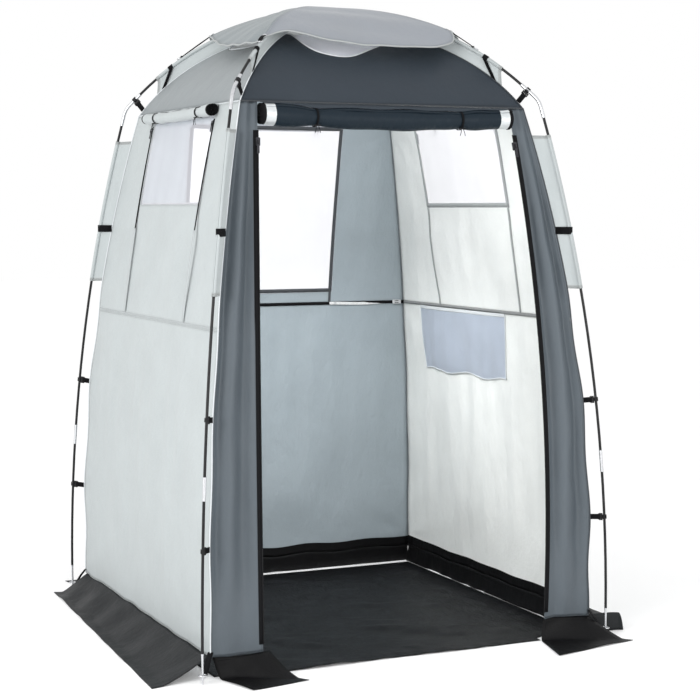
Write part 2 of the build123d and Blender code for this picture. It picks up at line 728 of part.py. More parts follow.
def vault_block(radius, top, half, rim):
    """Solid below a square groined vault, with an upright rim below its edge."""
    edge = vault_point(half, radius=radius, top=top)
    with BuildPart() as block:
        for angle, mode in ((SIDES["right"], Mode.ADD), (SIDES["back"], Mode.INTERSECT)):
            with BuildSketch(upright(angle)) as section:
                with BuildLine():
                    arch = ThreePointArc((-half, edge[1]), (0, top), (half, edge[1]))
                    Polyline(arch @ 1, (half, edge[1] - rim), (-half, edge[1] - rim), arch @ 0)
                make_face()
            extrude(to_extrude=section.sketch, amount=half, both=True, mode=mode)
    return block.part


def vault_shell(radius, top, half, rim, sheet):
    """Thin vaulted sheet, open below."""
    inner = vault_block(radius - sheet, top - sheet, half - sheet, rim + 2 * sheet)
    with BuildPart() as shell:
        add(vault_block(radius, top, half, rim))
        add(inner, mode=Mode.SUBTRACT)
    return shell


vent_half = VENT_HALF - VENT_SEAM_GAP
save(vault_shell(VAULT_RADIUS, ROOF_TOP_H, vent_half, VENT_RIM, VENT_NET), "vent_mesh")
with BuildPart() as fly_cap:
    add(vault_shell(CAP_RADIUS, CAP_TOP_H, CAP_HALF, CAP_HEM, CLOTH))
    with BuildSketch() as cap_plan:
        Circle(CAP_CORNER_R)
    extrude(to_extrude=cap_plan.sketch, amount=TALL, mode=Mode.INTERSECT)
save(fly_cap, "fly_cap")


# ---------------------------------------------------------------- windows, rolls and ties
def window_sheet(angle, low_h):
    """Clear or mesh sheet behind a window opening."""
    outer = -CLOTH - WINDOW_SEAM_GAP
    reach = 2 * WINDOW_SEAM
    wall_sheet(angle, low_h - reach, WINDOW_TOP_H + reach, outer - FILM, outer, WALL_HALF_MAX)
    window_cut(angle, low_h, margin=WINDOW_SEAM, mode=Mode.INTERSECT)


for side_name, window_low in WINDOW_LOW.items():
    with BuildPart() as window_piece:
        window_sheet(SIDES[side_name], window_low)
    save(window_piece, f"{side_name}_window_sheet")


def roll_axis(side_name):
    """Middle of a rolled-up cover, as (a, h)."""
    if side_name == "front":
        return (wall_half(DOOR_ROLL_H), DOOR_ROLL_H)
    return (wall_half(WINDOW_ROLL_H) + WINDOW_ROLL_R + TIE_ROOM, WINDOW_ROLL_H)


def cover_roll(side_name, radius, half):
    """Rolled-up cover below the eave."""
    with BuildPart() as piece:
        with BuildSketch(upright(SIDES[side_name])) as section:
            with Locations(roll_axis(side_name)):
                Circle(radius)
        extrude(to_extrude=section.sketch, amount=half, both=True)
    return piece


save(cover_roll("front", DOOR_ROLL_R, DOOR_ROLL_HALF), "door_roll")
for side_name in WINDOW_LOW:
    save(cover_roll(side_name, WINDOW_ROLL_R, WINDOW_ROLL_HALF), f"{side_name}_cover_roll")

ROLL_TIES = {name: (WINDOW_ROLL_R, WINDOW_TIE_AT) for name in WINDOW_LOW}
ROLL_TIES["front"] = (DOOR_ROLL_R, DOOR_TIE_AT)

with BuildPart() as roll_ties:
    for side_name, angle in SIDES.items():
        roll_r, tie_at = ROLL_TIES[side_name]
        axis_a, axis_h = roll_axis(side_name)
        toggle_out = roll_r + TIE_FIT + TIE_T + TOGGLE_GAP + TOGGLE_R
        toggle_place = (
            axis_a + toggle_out * cos(radians(TOGGLE_ANGLE)),
            axis_h - toggle_out * sin(radians(TOGGLE_ANGLE)),
        )
        for along in (-tie_at, tie_at):
            tie_plane = upright(angle).offset(along)
            with BuildSketch(tie_plane) as band:
                with Locations((axis_a, axis_h)):
                    Circle(roll_r + TIE_FIT + TIE_T)
                    Circle(roll_r + TIE_FIT, mode=Mode.SUBTRACT)
            extrude(to_extrude=band.sketch, amount=TIE_W / 2, both=True)
            with BuildSketch(tie_plane) as toggle:
                with Locations(toggle_place):
                    Circle(TOGGLE_R)
            extrude(to_extrude=toggle.sketch, amount=TOGGLE_LENGTH / 2, both=True)
save(roll_ties, "roll_ties")


# ---------------------------------------------------------------- zips
with BuildPart() as door_zips:
    for side in (-1, 1):
        with BuildPart(mode=Mode.PRIVATE) as tape:
            wall_sheet(SIDES["front"], *DOOR_ZIP_H, ZIP_GAP, ZIP_GAP + ZIP_TAPE, WALL_HALF_MAX)
            door_band(-ZIP_SEAM, ZIP_W, side, Mode.INTERSECT)
        with BuildPart(mode=Mode.PRIVATE) as coil:
            wall_sheet(SIDES["front"], *DOOR_ZIP_H, -CLOTH, ZIP_GAP + ZIP_COIL, WALL_HALF_MAX)
            door_band(-COIL_W, -COIL_GAP, side, Mode.INTERSECT)
        add(tape.part)
        add(coil.part)
save(door_zips, "door_zips")

with BuildPart() as window_zips:
    for side_name in WINDOW_LOW:
        angle = SIDES[side_name]
        for side in (-1, 1):
            with BuildPart(mode=Mode.PRIVATE) as tape:
                wall_sheet(angle, *WINDOW_ZIP_H, ZIP_GAP, ZIP_GAP + ZIP_TAPE, WALL_HALF_MAX)
                upright_band(angle, side * (WINDOW_HALF + WINDOW_ZIP_OUT), WINDOW_ZIP_W)
            with BuildPart(mode=Mode.PRIVATE) as coil:
                wall_sheet(angle, *WINDOW_ZIP_H, ZIP_GAP, ZIP_GAP + ZIP_COIL, WALL_HALF_MAX)
                upright_band(angle, side * (WINDOW_HALF + WINDOW_ZIP_OUT), COIL_W)
            add(tape.part)
            add(coil.part)
save(window_zips, "window_zips")


def on_wall(angle, height, across):
    """World position of a point on a wall's outer face."""
    place = facing(angle)
    return to_world(angle, wall_point(height)) + place.x_dir * across


def zip_plane(angle, height, across_at):
    """Plane on a zip: local x runs up the zip and local z out of the wall."""
    step = 1.0
    start = on_wall(angle, height - step, across_at(height - step))
    up = (on_wall(angle, height + step, across_at(height + step)) - start).normalized()
    lean = asin((height - WALL_WIDEST_H) / WALL_RADIUS)
    outward = to_world(angle, (cos(lean), sin(lean)))
    across = outward.cross(up).normalized()
    origin = on_wall(angle, height, across_at(height))
    return Plane(origin=origin, x_dir=up, z_dir=up.cross(across))


def bridge(plane):
    """Small arch on a slider's plate that holds its pull."""
    profile_plane = Plane(origin=plane.origin, x_dir=plane.x_dir, z_dir=-plane.y_dir)
    base = SLIDER_GAP + PLATE_T
    opening = BRIDGE_ROOT + BRIDGE_OPENING
    top = base + BRIDGE_OPENING + BRIDGE_BAR
    with BuildSketch(profile_plane) as arch:
        with BuildLine():
            Polyline(
                (-BRIDGE_HALF_LENGTH, base - BRIDGE_ROOT),
                (-BRIDGE_HALF_LENGTH + BRIDGE_SLANT, top),
                (BRIDGE_HALF_LENGTH - BRIDGE_SLANT, top),
                (BRIDGE_HALF_LENGTH, base - BRIDGE_ROOT),
                close=True,
            )
        make_face()
        with Locations((0, base - BRIDGE_ROOT + opening / 2)):
            Rectangle(BRIDGE_OPENING_LENGTH, opening, mode=Mode.SUBTRACT)
    extrude(to_extrude=arch.sketch, amount=BRIDGE_HALF_W, both=True)


def pull_tab(plane, length):
    """Pull that hangs from a slider's bridge by its cross bar."""
    pivot_h = SLIDER_GAP + PLATE_T + BRIDGE_OPENING / 2
    with BuildSketch(plane.offset(pivot_h - PULL_T / 2)) as tab:
        with Locations((-length / 2, 0)):
            RectangleRounded(length, PULL_W, PULL_CORNER_R)
        with Locations((-PULL_EYE_AT, 0)):
            Rectangle(PULL_EYE, PULL_W - 2 * PULL_FRAME, mode=Mode.SUBTRACT)
        with Locations((-length + PULL_HOLE_AT, 0)):
            Circle(PULL_HOLE_R, mode=Mode.SUBTRACT)
    extrude(to_extrude=tab.sketch, amount=PULL_T)
    bar_plane = Plane(origin=plane.offset(pivot_h).origin, x_dir=plane.x_dir, z_dir=plane.y_dir)
    with BuildSketch(bar_plane) as bar:
        Circle(PULL_BAR_R)
    extrude(to_extrude=bar.sketch, amount=PULL_W / 2 - PULL_BAR_GAP, both=True)


def door_zip_plane(side):
    """Where a door slider is at rest, near the top of its zip."""
    return zip_plane(SIDES["front"], DOOR_SLIDER_H, lambda height: side * door_half(height))


def door_slider(side):
    """Slider that straddles the coil at the doorway's edge."""
    plane = door_zip_plane(side)
    opening = side  # local y points to -X, which is into the doorway on the right-hand edge
    with BuildPart() as piece:
        for level in (SLIDER_GAP, -SLIDER_GAP - PLATE_T):
            with BuildSketch(plane.offset(level)) as plate:
                with Locations((0, DOOR_PLATE_SHIFT * opening)):
                    RectangleRounded(*DOOR_PLATE)
            extrude(to_extrude=plate.sketch, amount=PLATE_T)
        with BuildSketch(plane.offset(-SLIDER_GAP - POST_LAP)) as post:
            with Locations((0, POST_AT * opening)):
                Rectangle(*POST)
        extrude(to_extrude=post.sketch, amount=2 * (SLIDER_GAP + POST_LAP))
        bridge(plane)
    return piece


for side, side_name in ((-1, "left"), (1, "right")):
    save(door_slider(side), f"door_slider_{side_name}")
    with BuildPart() as door_pull:
        pull_tab(door_zip_plane(side), DOOR_PULL)
    save(door_pull, f"door_pull_{side_name}")

for side_name in WINDOW_LOW:
    for side, end_name in ((-1, "a"), (1, "b")):
        across = side * (WINDOW_HALF + WINDOW_ZIP_OUT)
        slider_plane = zip_plane(SIDES[side_name], WINDOW_SLIDER_H, lambda height: across)
        with BuildPart() as window_slider:
            with BuildSketch(slider_plane.offset(SLIDER_GAP)) as plate:
                RectangleRounded(*WINDOW_PLATE)
            extrude(to_extrude=plate.sketch, amount=PLATE_T)
            bridge(slider_plane)
            pull_tab(slider_plane, WINDOW_PULL)
        save(window_slider, f"{side_name}_window_slider_{end_name}")


# ---------------------------------------------------------------- ground pieces
def skirt(side_name, start, end):
    """Flap that falls from a wall's bottom seam and lies outwards on the ground."""
    angle = SIDES[side_name]
    fold = SKIRT_FOLD[side_name]
    top = wall_half(WALL_FOOT_H)
    with BuildPart() as piece:
        with BuildSketch(upright(angle)) as section:
            with BuildLine():
                Polyline(
                    (top, WALL_FOOT_H - SEAM_GAP),
                    (fold, CLOTH),
                    (SKIRT_OUT, CLOTH),
                    (SKIRT_OUT, 0),
                    (fold - SKIRT_INNER, 0),
                    (top - SKIRT_INNER, WALL_FOOT_H - SEAM_GAP - CLOTH),
                    close=True,
                )
            make_face()
        extrude(to_extrude=section.sketch, amount=SKIRT_HALF, both=True)
        with BuildSketch(ground(angle)) as span:
            with Locations((SKIRT_OUT / 2, (start + end) / 2)):
                Rectangle(2 * SKIRT_OUT, end - start)
        extrude(to_extrude=span.sketch, amount=TALL, mode=Mode.INTERSECT)
    return piece


for side_name in WINDOW_LOW:
    save(skirt(side_name, -SKIRT_HALF, SKIRT_HALF), f"skirt_{side_name}")
save(skirt("front", -SKIRT_HALF, -FRONT_SKIRT_IN), "skirt_front_left")
save(skirt("front", FRONT_SKIRT_IN, SKIRT_HALF), "skirt_front_right")

with BuildPart() as floor_sheet:
    with BuildSketch() as floor_outline:
        with BuildLine():
            Polyline(
                (-FLOOR_HALF, FLOOR_BACK),
                (FLOOR_HALF, FLOOR_BACK),
                (FLOOR_HALF, -FLOOR_FRONT),
                (FLOOR_TONGUE_HALF, -FLOOR_FRONT),
                (FLOOR_TONGUE_HALF, -FLOOR_TONGUE_FRONT),
                (-FLOOR_TONGUE_HALF, -FLOOR_TONGUE_FRONT),
                (-FLOOR_TONGUE_HALF, -FLOOR_FRONT),
                (-FLOOR_HALF, -FLOOR_FRONT),
                close=True,
            )
        make_face()
    extrude(amount=CLOTH)
save(floor_sheet, "floor_sheet")


# ---------------------------------------------------------------- inside
# The pocket is a shallow tray, open at the top and against the wall.
pocket_y, pocket_h = POCKET_MIDDLE
pocket_lean = asin((pocket_h - WALL_WIDEST_H) / WALL_RADIUS)
pocket_plane = Plane(
    origin=(wall_point(pocket_h, offset=-CLOTH - POCKET_GAP)[0], pocket_y, pocket_h),
    x_dir=(0, -1, 0),
    z_dir=(-cos(pocket_lean), 0, -sin(pocket_lean)),
)
with BuildPart() as mesh_pocket:
    with BuildSketch(pocket_plane):
        RectangleRounded(POCKET_W, POCKET_TALL, POCKET_CORNER_R)
    extrude(amount=POCKET_DEEP)
    with BuildSketch(pocket_plane):
        with Locations((0, CLOTH)):
            RectangleRounded(POCKET_W - 2 * CLOTH, POCKET_TALL, POCKET_CORNER_R - CLOTH)
        with Locations((0, POCKET_TALL / 2)):
            Rectangle(POCKET_W - 2 * CLOTH, 2 * POCKET_CORNER_R)
    extrude(amount=POCKET_DEEP - CLOTH, mode=Mode.SUBTRACT)
save(mesh_pocket, "mesh_pocket")

# A strap with a buckle runs along the waist seam of the back wall.
strap_a = wall_half(WAIST_H) - CLOTH - STRAP_FROM_WALL
with BuildPart() as hanging_strap:
    with Locations(((STRAP_FROM_X + STRAP_TO_X) / 2, strap_a, WAIST_H)):
        Box(STRAP_TO_X - STRAP_FROM_X, WEB_T, STRAP_TALL)
    with Locations((STRAP_TO_X + 1 + BUCKLE_LENGTH / 2, strap_a, WAIST_H)):
        Box(BUCKLE_LENGTH, BUCKLE_T, STRAP_TALL + BUCKLE_MARGIN)
    fillet(hanging_strap.edges().filter_by(Axis.Y).group_by(Axis.X)[-1], BUCKLE_CORNER_R)
save(hanging_strap, "hanging_strap")


# ---------------------------------------------------------------- ties of the fly cap
# The front left corner is held by webbing, the others by a cord with a knot at the ring.
cap_corner_h = vault_point(CAP_CORNER_R / sqrt(2), radius=CAP_RADIUS, top=CAP_TOP_H)[1]
with BuildPart() as cap_ties:
    for corner, angle in CORNERS.items():
        apex = APEX_OF[corner]
        tie_out = roof_point(TIE_KNOT_R, apex, offset=SLEEVE_R + TIE_LIFT)
        tie_in = (CAP_CORNER_R + TIE_CAP_GAP, cap_corner_h - CLOTH)
        tie_span = (tie_out[0] - tie_in[0], tie_out[1] - tie_in[1])
        tie_plane = square_to(angle, tie_in, tie_span)
        if corner == "front_left":
            with BuildSketch(tie_plane) as strap_end:
                Rectangle(WEB_T, STRAP_TIE_W)
            extrude(to_extrude=strap_end.sketch, amount=hypot(*tie_span))
        else:
            with BuildSketch(tie_plane) as cord_end:
                Circle(SHOCK_CORD_D / 2)
            extrude(to_extrude=cord_end.sketch, amount=hypot(*tie_span))
            with Locations(tie_plane.offset(hypot(*tie_span))):
                Sphere(KNOT_R)
save(cap_ties, "cap_ties")
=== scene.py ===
from math import asin, cos, pi, radians, sin, sqrt

import bpy
import numpy as np
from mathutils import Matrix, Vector


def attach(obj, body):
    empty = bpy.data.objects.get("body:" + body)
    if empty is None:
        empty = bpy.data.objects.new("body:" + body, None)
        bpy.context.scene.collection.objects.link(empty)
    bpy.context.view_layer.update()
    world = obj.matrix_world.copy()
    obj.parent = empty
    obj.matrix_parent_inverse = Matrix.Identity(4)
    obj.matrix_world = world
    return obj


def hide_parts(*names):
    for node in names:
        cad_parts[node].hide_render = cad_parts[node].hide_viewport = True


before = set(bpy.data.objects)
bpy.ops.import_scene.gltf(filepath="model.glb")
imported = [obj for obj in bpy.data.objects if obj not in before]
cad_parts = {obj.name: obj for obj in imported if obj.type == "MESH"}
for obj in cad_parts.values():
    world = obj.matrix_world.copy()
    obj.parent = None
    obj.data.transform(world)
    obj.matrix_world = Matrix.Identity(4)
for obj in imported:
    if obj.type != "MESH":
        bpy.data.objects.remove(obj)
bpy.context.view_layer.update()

# Privacy shower tent. Metres, origin on the ground at the middle of the cabin, doorway to -Y.

# ---------------------------------------------------------------- dimensions, as in the CAD
CORNERS = {"front_left": 225.0, "front_right": 315.0, "back_right": 45.0, "back_left": 135.0}
SIDES = {"right": 0.0, "back": 90.0, "left": 180.0, "front": 270.0}
LOW_APEX, HIGH_APEX = 2.1945, 2.2055
APEX_OF = {
    "front_left": LOW_APEX, "back_right": LOW_APEX, "front_right": HIGH_APEX, "back_left": HIGH_APEX
}
ROOT2 = sqrt(2)
FOOT_R, LEG_TOP, LEG_RADIUS = 0.75 * ROOT2, (0.815, 1.838), 6.3
ROOF_START = (0.742, 1.927)
CLIP_HEIGHTS = (0.422, 0.834)
ELBOW_HOOK, ELBOW_WEB = 0.030, 0.052
LEG_SLEEVE_H = (1.219, 1.751)
ROOF_SLEEVE_R = (0.075, 0.672)
SLEEVE_R = 0.0068
WALL_MAX, WALL_WIDEST_H, WALL_RADIUS = 0.710, 0.275, 6.9
WALL_FOOT_H, WAIST_H, EAVE_H = 0.070, 1.110, 1.845
DOOR_MAX, DOOR_WIDEST_H, DOOR_RADIUS = 0.531, 0.450, 15.6
WINDOW_HALF, WINDOW_TOP = 0.315, 1.812
WINDOW_LOW = {"left": 1.510, "right": 1.510, "back": 1.165}
ROLLS = {"front": (0.038, 0.465, 1.797, 0.270)}
for side_name in WINDOW_LOW:
    ROLLS[side_name] = (0.021, 0.350, 1.822, 0.225)
TOGGLE_ANGLE = radians(50.0)
ZIP_OUT = 0.324
DOOR_ZIP_H, WINDOW_ZIP_H = (0.095, 1.750), (1.118, 1.796)
SKIRT_OUT, SKIRT_HALF = 0.925, 0.690
SKIRT_SLOPE, SKIRT_WIDTH = 0.186, 0.231  # along the cloth, to the ground and to its edge
STEEP_SLOPE, STEEP_WIDTH = 0.075, 0.265
FLOOR_HALF, FLOOR_BACK, FLOOR_FRONT = 0.698, 0.690, 0.690
TONGUE_HALF, TONGUE_FRONT = 0.512, 0.720
CLOTH = 0.0009  # shown thickness of a fabric sheet


def wall_half(height):
    """Half width of the cabin at this height."""
    return WALL_MAX - WALL_RADIUS + np.sqrt(WALL_RADIUS**2 - (height - WALL_WIDEST_H) ** 2)


def door_half(height):
    """Half width of the doorway at this height."""
    return DOOR_MAX - DOOR_RADIUS + np.sqrt(DOOR_RADIUS**2 - (height - DOOR_WIDEST_H) ** 2)


EAVE_HALF = float(wall_half(EAVE_H))
ROOF_TOP, CAP_TOP = 2.150, 2.220
ROOF_RADIUS = (EAVE_HALF**2 + (ROOF_TOP - EAVE_H) ** 2) / (2 * (ROOF_TOP - EAVE_H))
CAP_HALF, CAP_EDGE_H = 0.430, 2.056
CAP_RADIUS = (CAP_HALF**2 + (CAP_TOP - CAP_EDGE_H) ** 2) / (2 * (CAP_TOP - CAP_EDGE_H))


def dome(half, top, radius):
    """Height of a vault of this radius where it is this far from the middle."""
    return top - radius + np.sqrt(radius**2 - half**2)


def circle_centre(start, end, radius):
    """Centre of the circle through two points, on the left of the way from start to end."""
    span = np.array(end) - np.array(start)
    chord = np.hypot(*span)
    rise = sqrt(radius**2 - chord**2 / 4)
    return (np.array(start) + np.array(end)) / 2 + rise * np.array([-span[1], span[0]]) / chord


LEG_CENTRE = circle_centre((FOOT_R, 0.0), LEG_TOP, LEG_RADIUS)


def leg_r(height):
    """Distance of a leg from the tent's axis at this height."""
    return LEG_CENTRE[0] + np.sqrt(LEG_RADIUS**2 - (height - LEG_CENTRE[1]) ** 2)


def roof_radius(apex):
    rise = apex - ROOF_START[1]
    return (ROOF_START[0] ** 2 + rise**2) / (2 * rise)


def roof_h(reach, apex):
    """Height of a roof pole at this distance from the tent's axis."""
    return dome(reach, apex, roof_radius(apex))


def heading(angle):
    return np.array([cos(radians(angle)), sin(radians(angle)), 0.0])


def sideways(angle):
    """To the right for someone outside who looks at this side of the tent."""
    return np.array([-sin(radians(angle)), cos(radians(angle)), 0.0])


UP = np.array([0.0, 0.0, 1.0])


def place(angle, reach, across, height):
    """World points from a distance out of the tent, one across and a height."""
    reach, across, height = np.broadcast_arrays(reach, across, height)
    return (
        reach[..., None] * heading(angle)
        + across[..., None] * sideways(angle)
        + height[..., None] * UP
    )


def smooth(low, high, value):
    """0 below low, 1 above high, and a smooth step between them."""
    t = np.clip((value - low) / (high - low), 0, 1)
    return t * t * (3 - 2 * t)


def waves(x, y, size, seed, count=7):
    """Soft even unrest between about -1 and 1, made of plane waves near this wavelength."""
    draw = np.random.RandomState(seed)
    total = np.zeros(np.broadcast(x, y).shape)
    for _ in range(count):
        turn, phase, stretch = draw.uniform(0, 2 * pi, 2).tolist() + [draw.uniform(0.7, 1.7)]
        total += np.sin(2 * pi * stretch / size * (x * cos(turn) + y * sin(turn)) + phase)
    return total / sqrt(count)


def creases(x, y, at, reach, count, height, phase=0.0):
    """Wrinkles that fan out from a point where the cloth is pulled."""
    dx, dy = x - at[0], y - at[1]
    away = np.hypot(dx, dy)
    ripple = np.cos(count * np.arctan2(dy, dx) + phase)
    return height * ripple * np.exp(-((away / reach) ** 2)) * smooth(0.0, reach * 0.35, away)


# ---------------------------------------------------------------- materials
class Shader:
    """A node material with one Principled shader, built in few words."""

    def __init__(self, name, colour, roughness, **constants):
        self.material = bpy.data.materials.new(name)
        self.material.use_nodes = True
        self.tree = self.material.node_tree
        self.bsdf = self.tree.nodes["Principled BSDF"]
        self.bsdf.inputs["Base Color"].default_value = (*colour, 1)
        self.bsdf.inputs["Roughness"].default_value = roughness
        for key, value in constants.items():
            self.bsdf.inputs[key.replace("_", " ")].default_value = value
        self.material.diffuse_color = (*colour, 1)

    def node(self, kind, inputs, out=0, **settings):
        made = self.tree.nodes.new("ShaderNode" + kind)
        for key, value in settings.items():
            setattr(made, key, value)
        for key, value in inputs.items():
            if isinstance(value, bpy.types.NodeSocket):
                self.tree.links.new(value, made.inputs[key])
            elif value is not None:
                made.inputs[key].default_value = value
        return made.outputs[out]

    def math(self, operation, a, b=None, c=None):
        return self.node("Math", {0: a, 1: b, 2: c}, operation=operation)

    def coords(self, source="Object"):
        return self.node("TexCoord", {}, out=source)

    def uv(self, name):
        return self.node("UVMap", {}, uv_map=name)

    def split(self, vector):
        made = self.tree.nodes.new("ShaderNodeSeparateXYZ")
        self.tree.links.new(vector, made.inputs[0])
        return made.outputs

    def noise(self, vector, scale, detail=2.0, roughness=0.5):
        inputs = {"Vector": vector, "Scale": scale, "Detail": detail, "Roughness": roughness}
        return self.node("TexNoise", inputs)

    def scaled(self, vector, scale):
        return self.node("Mapping", {"Vector": vector, "Scale": scale})

    def remap(self, value, low, high, to_low, to_high):
        keys = {0: value, 1: low, 2: high, 3: to_low, 4: to_high}
        return self.node("MapRange", keys)

    def tinted(self, colour, by):
        """The colour made lighter or darker by a number around 1."""
        grey = self.node("CombineColor", {0: by, 1: by, 2: by})
        keys = {0: 1.0, 6: (*colour, 1), 7: grey}
        return self.node("Mix", keys, out=2, data_type="RGBA", blend_type="MULTIPLY")

    def bump(self, height, distance, strength=1.0, below=None):
        keys = {"Height": height, "Distance": distance, "Strength": strength, "Normal": below}
        return self.node("Bump", keys)

    def end(self, colour=None, normal=None, roughness=None):
        for key, socket in (("Base Color", colour), ("Normal", normal), ("Roughness", roughness)):
            if socket is not None:
                self.tree.links.new(socket, self.bsdf.inputs[key])
        return self.material


YARN = 0.0006  # pitch of the weave
STITCH_FROM_EDGE, STITCH_LENGTH, THREAD = 0.006, 0.0045, 0.0007


def cloth(name, colour, roughness=0.62, crinkle=0.5, thread=0.72, yarn=YARN, **constants):
    """Coated polyester: plain weave, faint crinkles and mottling, and a stitched hem."""
    constants.setdefault("Sheen_Weight", 0.15)
    constants.setdefault("Sheen_Roughness", 0.45)
    s = Shader(name, colour, roughness, **constants)
    at = s.uv("cloth")
    x, y, _ = s.split(at)
    warp = s.math("SINE", s.math("MULTIPLY", x, 2 * pi / yarn))
    weft = s.math("SINE", s.math("MULTIPLY", y, 2 * pi / yarn))
    weave = s.math("MULTIPLY", warp, weft)
    slub = s.noise(s.scaled(at, (60.0, 900.0, 1.0)), 1.0, 2.0)
    soft = s.noise(at, 6.0, 3.0, 0.55)
    crease = s.noise(s.scaled(at, (1.0, 0.6, 1.0)), 26.0, 4.0, 0.6)
    side, end, _ = s.split(s.uv("seam"))

    def row(distance, along):
        near = s.math("COMPARE", distance, STITCH_FROM_EDGE, THREAD)
        dash = s.math("LESS_THAN", s.math("FRACT", s.math("DIVIDE", along, STITCH_LENGTH)), 0.62)
        return s.math("MULTIPLY", near, dash)

    stitches = s.math("MAXIMUM", row(side, y), row(end, x))
    edge = s.math("MINIMUM", side, end)
    hem = s.remap(edge, 0.011, 0.0125, 1.0, 0.0)
    tone = s.math("ADD", s.remap(soft, 0.3, 0.7, 0.955, 1.03), s.remap(slub, 0.3, 0.7, -0.015, 0.015))
    tone = s.math("ADD", tone, s.math("MULTIPLY", weave, 0.02))
    tone = s.math("SUBTRACT", tone, s.math("MULTIPLY", hem, 0.05))
    tone = s.math("SUBTRACT", tone, s.math("MULTIPLY", stitches, 1.0 - thread))
    normal = s.bump(crease, 0.006, crinkle)
    normal = s.bump(hem, 0.0006, 0.7, normal)
    normal = s.bump(weave, 0.00012, 0.35, normal)
    normal = s.bump(stitches, 0.0006, 0.8, normal)
    rough = s.remap(soft, 0.3, 0.7, roughness - 0.05, roughness + 0.05)
    return s.end(s.tinted(colour, tone), normal, rough)


def webbing(name, colour):
    """Woven tape with diagonal ribs."""
    s = Shader(name, colour, 0.7, Specular_IOR_Level=0.12)
    x, y, _ = s.split(s.uv("cloth"))
    ribs = s.math("SINE", s.math("MULTIPLY", s.math("ADD", x, y), 2 * pi / 0.0016))
    rows = s.math("SINE", s.math("MULTIPLY", y, 2 * pi / 0.0022))
    weave = s.math("MULTIPLY", ribs, rows)
    tone = s.math("ADD", s.math("MULTIPLY", weave, 0.12), 1.0)
    grain = s.noise(s.coords(), 300.0, 2.0)
    tone = s.math("ADD", tone, s.remap(grain, 0.3, 0.7, -0.12, 0.12))
    normal = s.bump(weave, 0.0004, 0.7)
    return s.end(s.tinted(colour, tone), normal)


def metal(name, colour, roughness):
    """Drawn metal with fine scratches along its length."""
    s = Shader(name, colour, roughness, Metallic=1.0)
    fine = s.noise(s.scaled(s.coords(), (1.0, 1.0, 0.08)), 1400.0, 3.0, 0.6)
    wide = s.noise(s.coords(), 40.0, 3.0)
    rough = s.remap(fine, 0.3, 0.7, roughness - 0.08, roughness + 0.12)
    tone = s.remap(wide, 0.3, 0.7, 0.92, 1.04)
    return s.end(s.tinted(colour, tone), s.bump(fine, 0.0002, 0.25), rough)


def plastic(name, colour, roughness, coat=0.0):
    """Moulded plastic or wrapped fibreglass with a fine grain."""
    s = Shader(name, colour, roughness, Coat_Weight=coat, Coat_Roughness=0.25, Specular_IOR_Level=0.25)
    grain = s.noise(s.coords(), 900.0, 3.0, 0.6)
    wide = s.noise(s.scaled(s.coords(), (1.0, 1.0, 0.3)), 35.0, 3.0)
    tone = s.remap(wide, 0.3, 0.7, 0.85, 1.15)
    rough = s.remap(grain, 0.3, 0.7, roughness - 0.07, roughness + 0.1)
    return s.end(s.tinted(colour, tone), s.bump(grain, 0.0002, 0.3), rough)


def net(name, colour, hole, opacity):
    """Fine netting: threads both ways, seen through between them."""
    s = Shader(name, colour, 0.75, Sheen_Weight=0.2)
    x, y, _ = s.split(s.uv("cloth"))
    lines = [s.math("ABSOLUTE", s.math("SINE", s.math("MULTIPLY", v, pi / hole))) for v in (x, y)]
    thread = s.math("SUBTRACT", 1.0, s.math("MULTIPLY", *lines))
    soft = s.noise(s.uv("cloth"), 9.0, 3.0)
    tone = s.remap(soft, 0.3, 0.7, 0.95, 1.04)
    cover = s.remap(thread, 0.1, 0.8, opacity - 0.22, opacity + 0.16)
    s.tree.links.new(cover, s.bsdf.inputs["Alpha"])
    return s.end(s.tinted(colour, tone), s.bump(thread, 0.0003, 0.5))


def film(name, colour, opacity):
    """Clear window film with a little haze and a few ripples."""
    s = Shader(name, colour, 0.22, Coat_Weight=0.3, Coat_Roughness=0.1, Alpha=opacity)
    soft = s.noise(s.uv("cloth"), 5.0, 2.0)
    crease = s.noise(s.uv("cloth"), 14.0, 2.0)
    tone = s.remap(soft, 0.3, 0.7, 0.97, 1.02)
    return s.end(s.tinted(colour, tone), s.bump(crease, 0.004, 0.25))


JET = (0.006, 0.006, 0.007)
DULL = {"Specular_IOR_Level": 0.14, "Sheen_Weight": 0.0}
LIGHT = cloth("light_cloth", (0.41, 0.445, 0.45), 0.6)
# roof copy of the light cloth, made darker: painted shade on the roof's left and right gores
LIGHT_ROOF_PAINTED_SHADE = cloth("light_roof_cloth_painted_shade", (0.222, 0.246, 0.256), 0.6)
# pale lining of the light cloth; its paleness is partly its own colour and partly painted light for daylight
# coming through the thin cloth
LIGHT_INSIDE = cloth("light_cloth_inside", (0.84, 0.86, 0.84), 0.5, crinkle=0.6)
# fly cap: copies of the light cloth made darker, painted shade on the cap; the front gore's copy is a little
# lighter and bluer
CAP_PAINTED_SHADE = cloth("cap_cloth", (0.188, 0.218, 0.230), 0.55)
CAP_FRONT_PAINTED_SHADE = cloth("cap_cloth_front", (0.245, 0.265, 0.295), 0.55)
DARK = cloth("dark_cloth", (0.078, 0.096, 0.112), 0.55, thread=0.5, Sheen_Weight=0.05)
# roof copy of the dark cloth, made darker: painted shade on the roof's front and back gores and on the
# door's top strip
DARK_ROOF_PAINTED_SHADE = cloth("dark_roof_cloth_painted_shade", (0.034, 0.043, 0.054), 0.5, thread=0.5, **DULL)
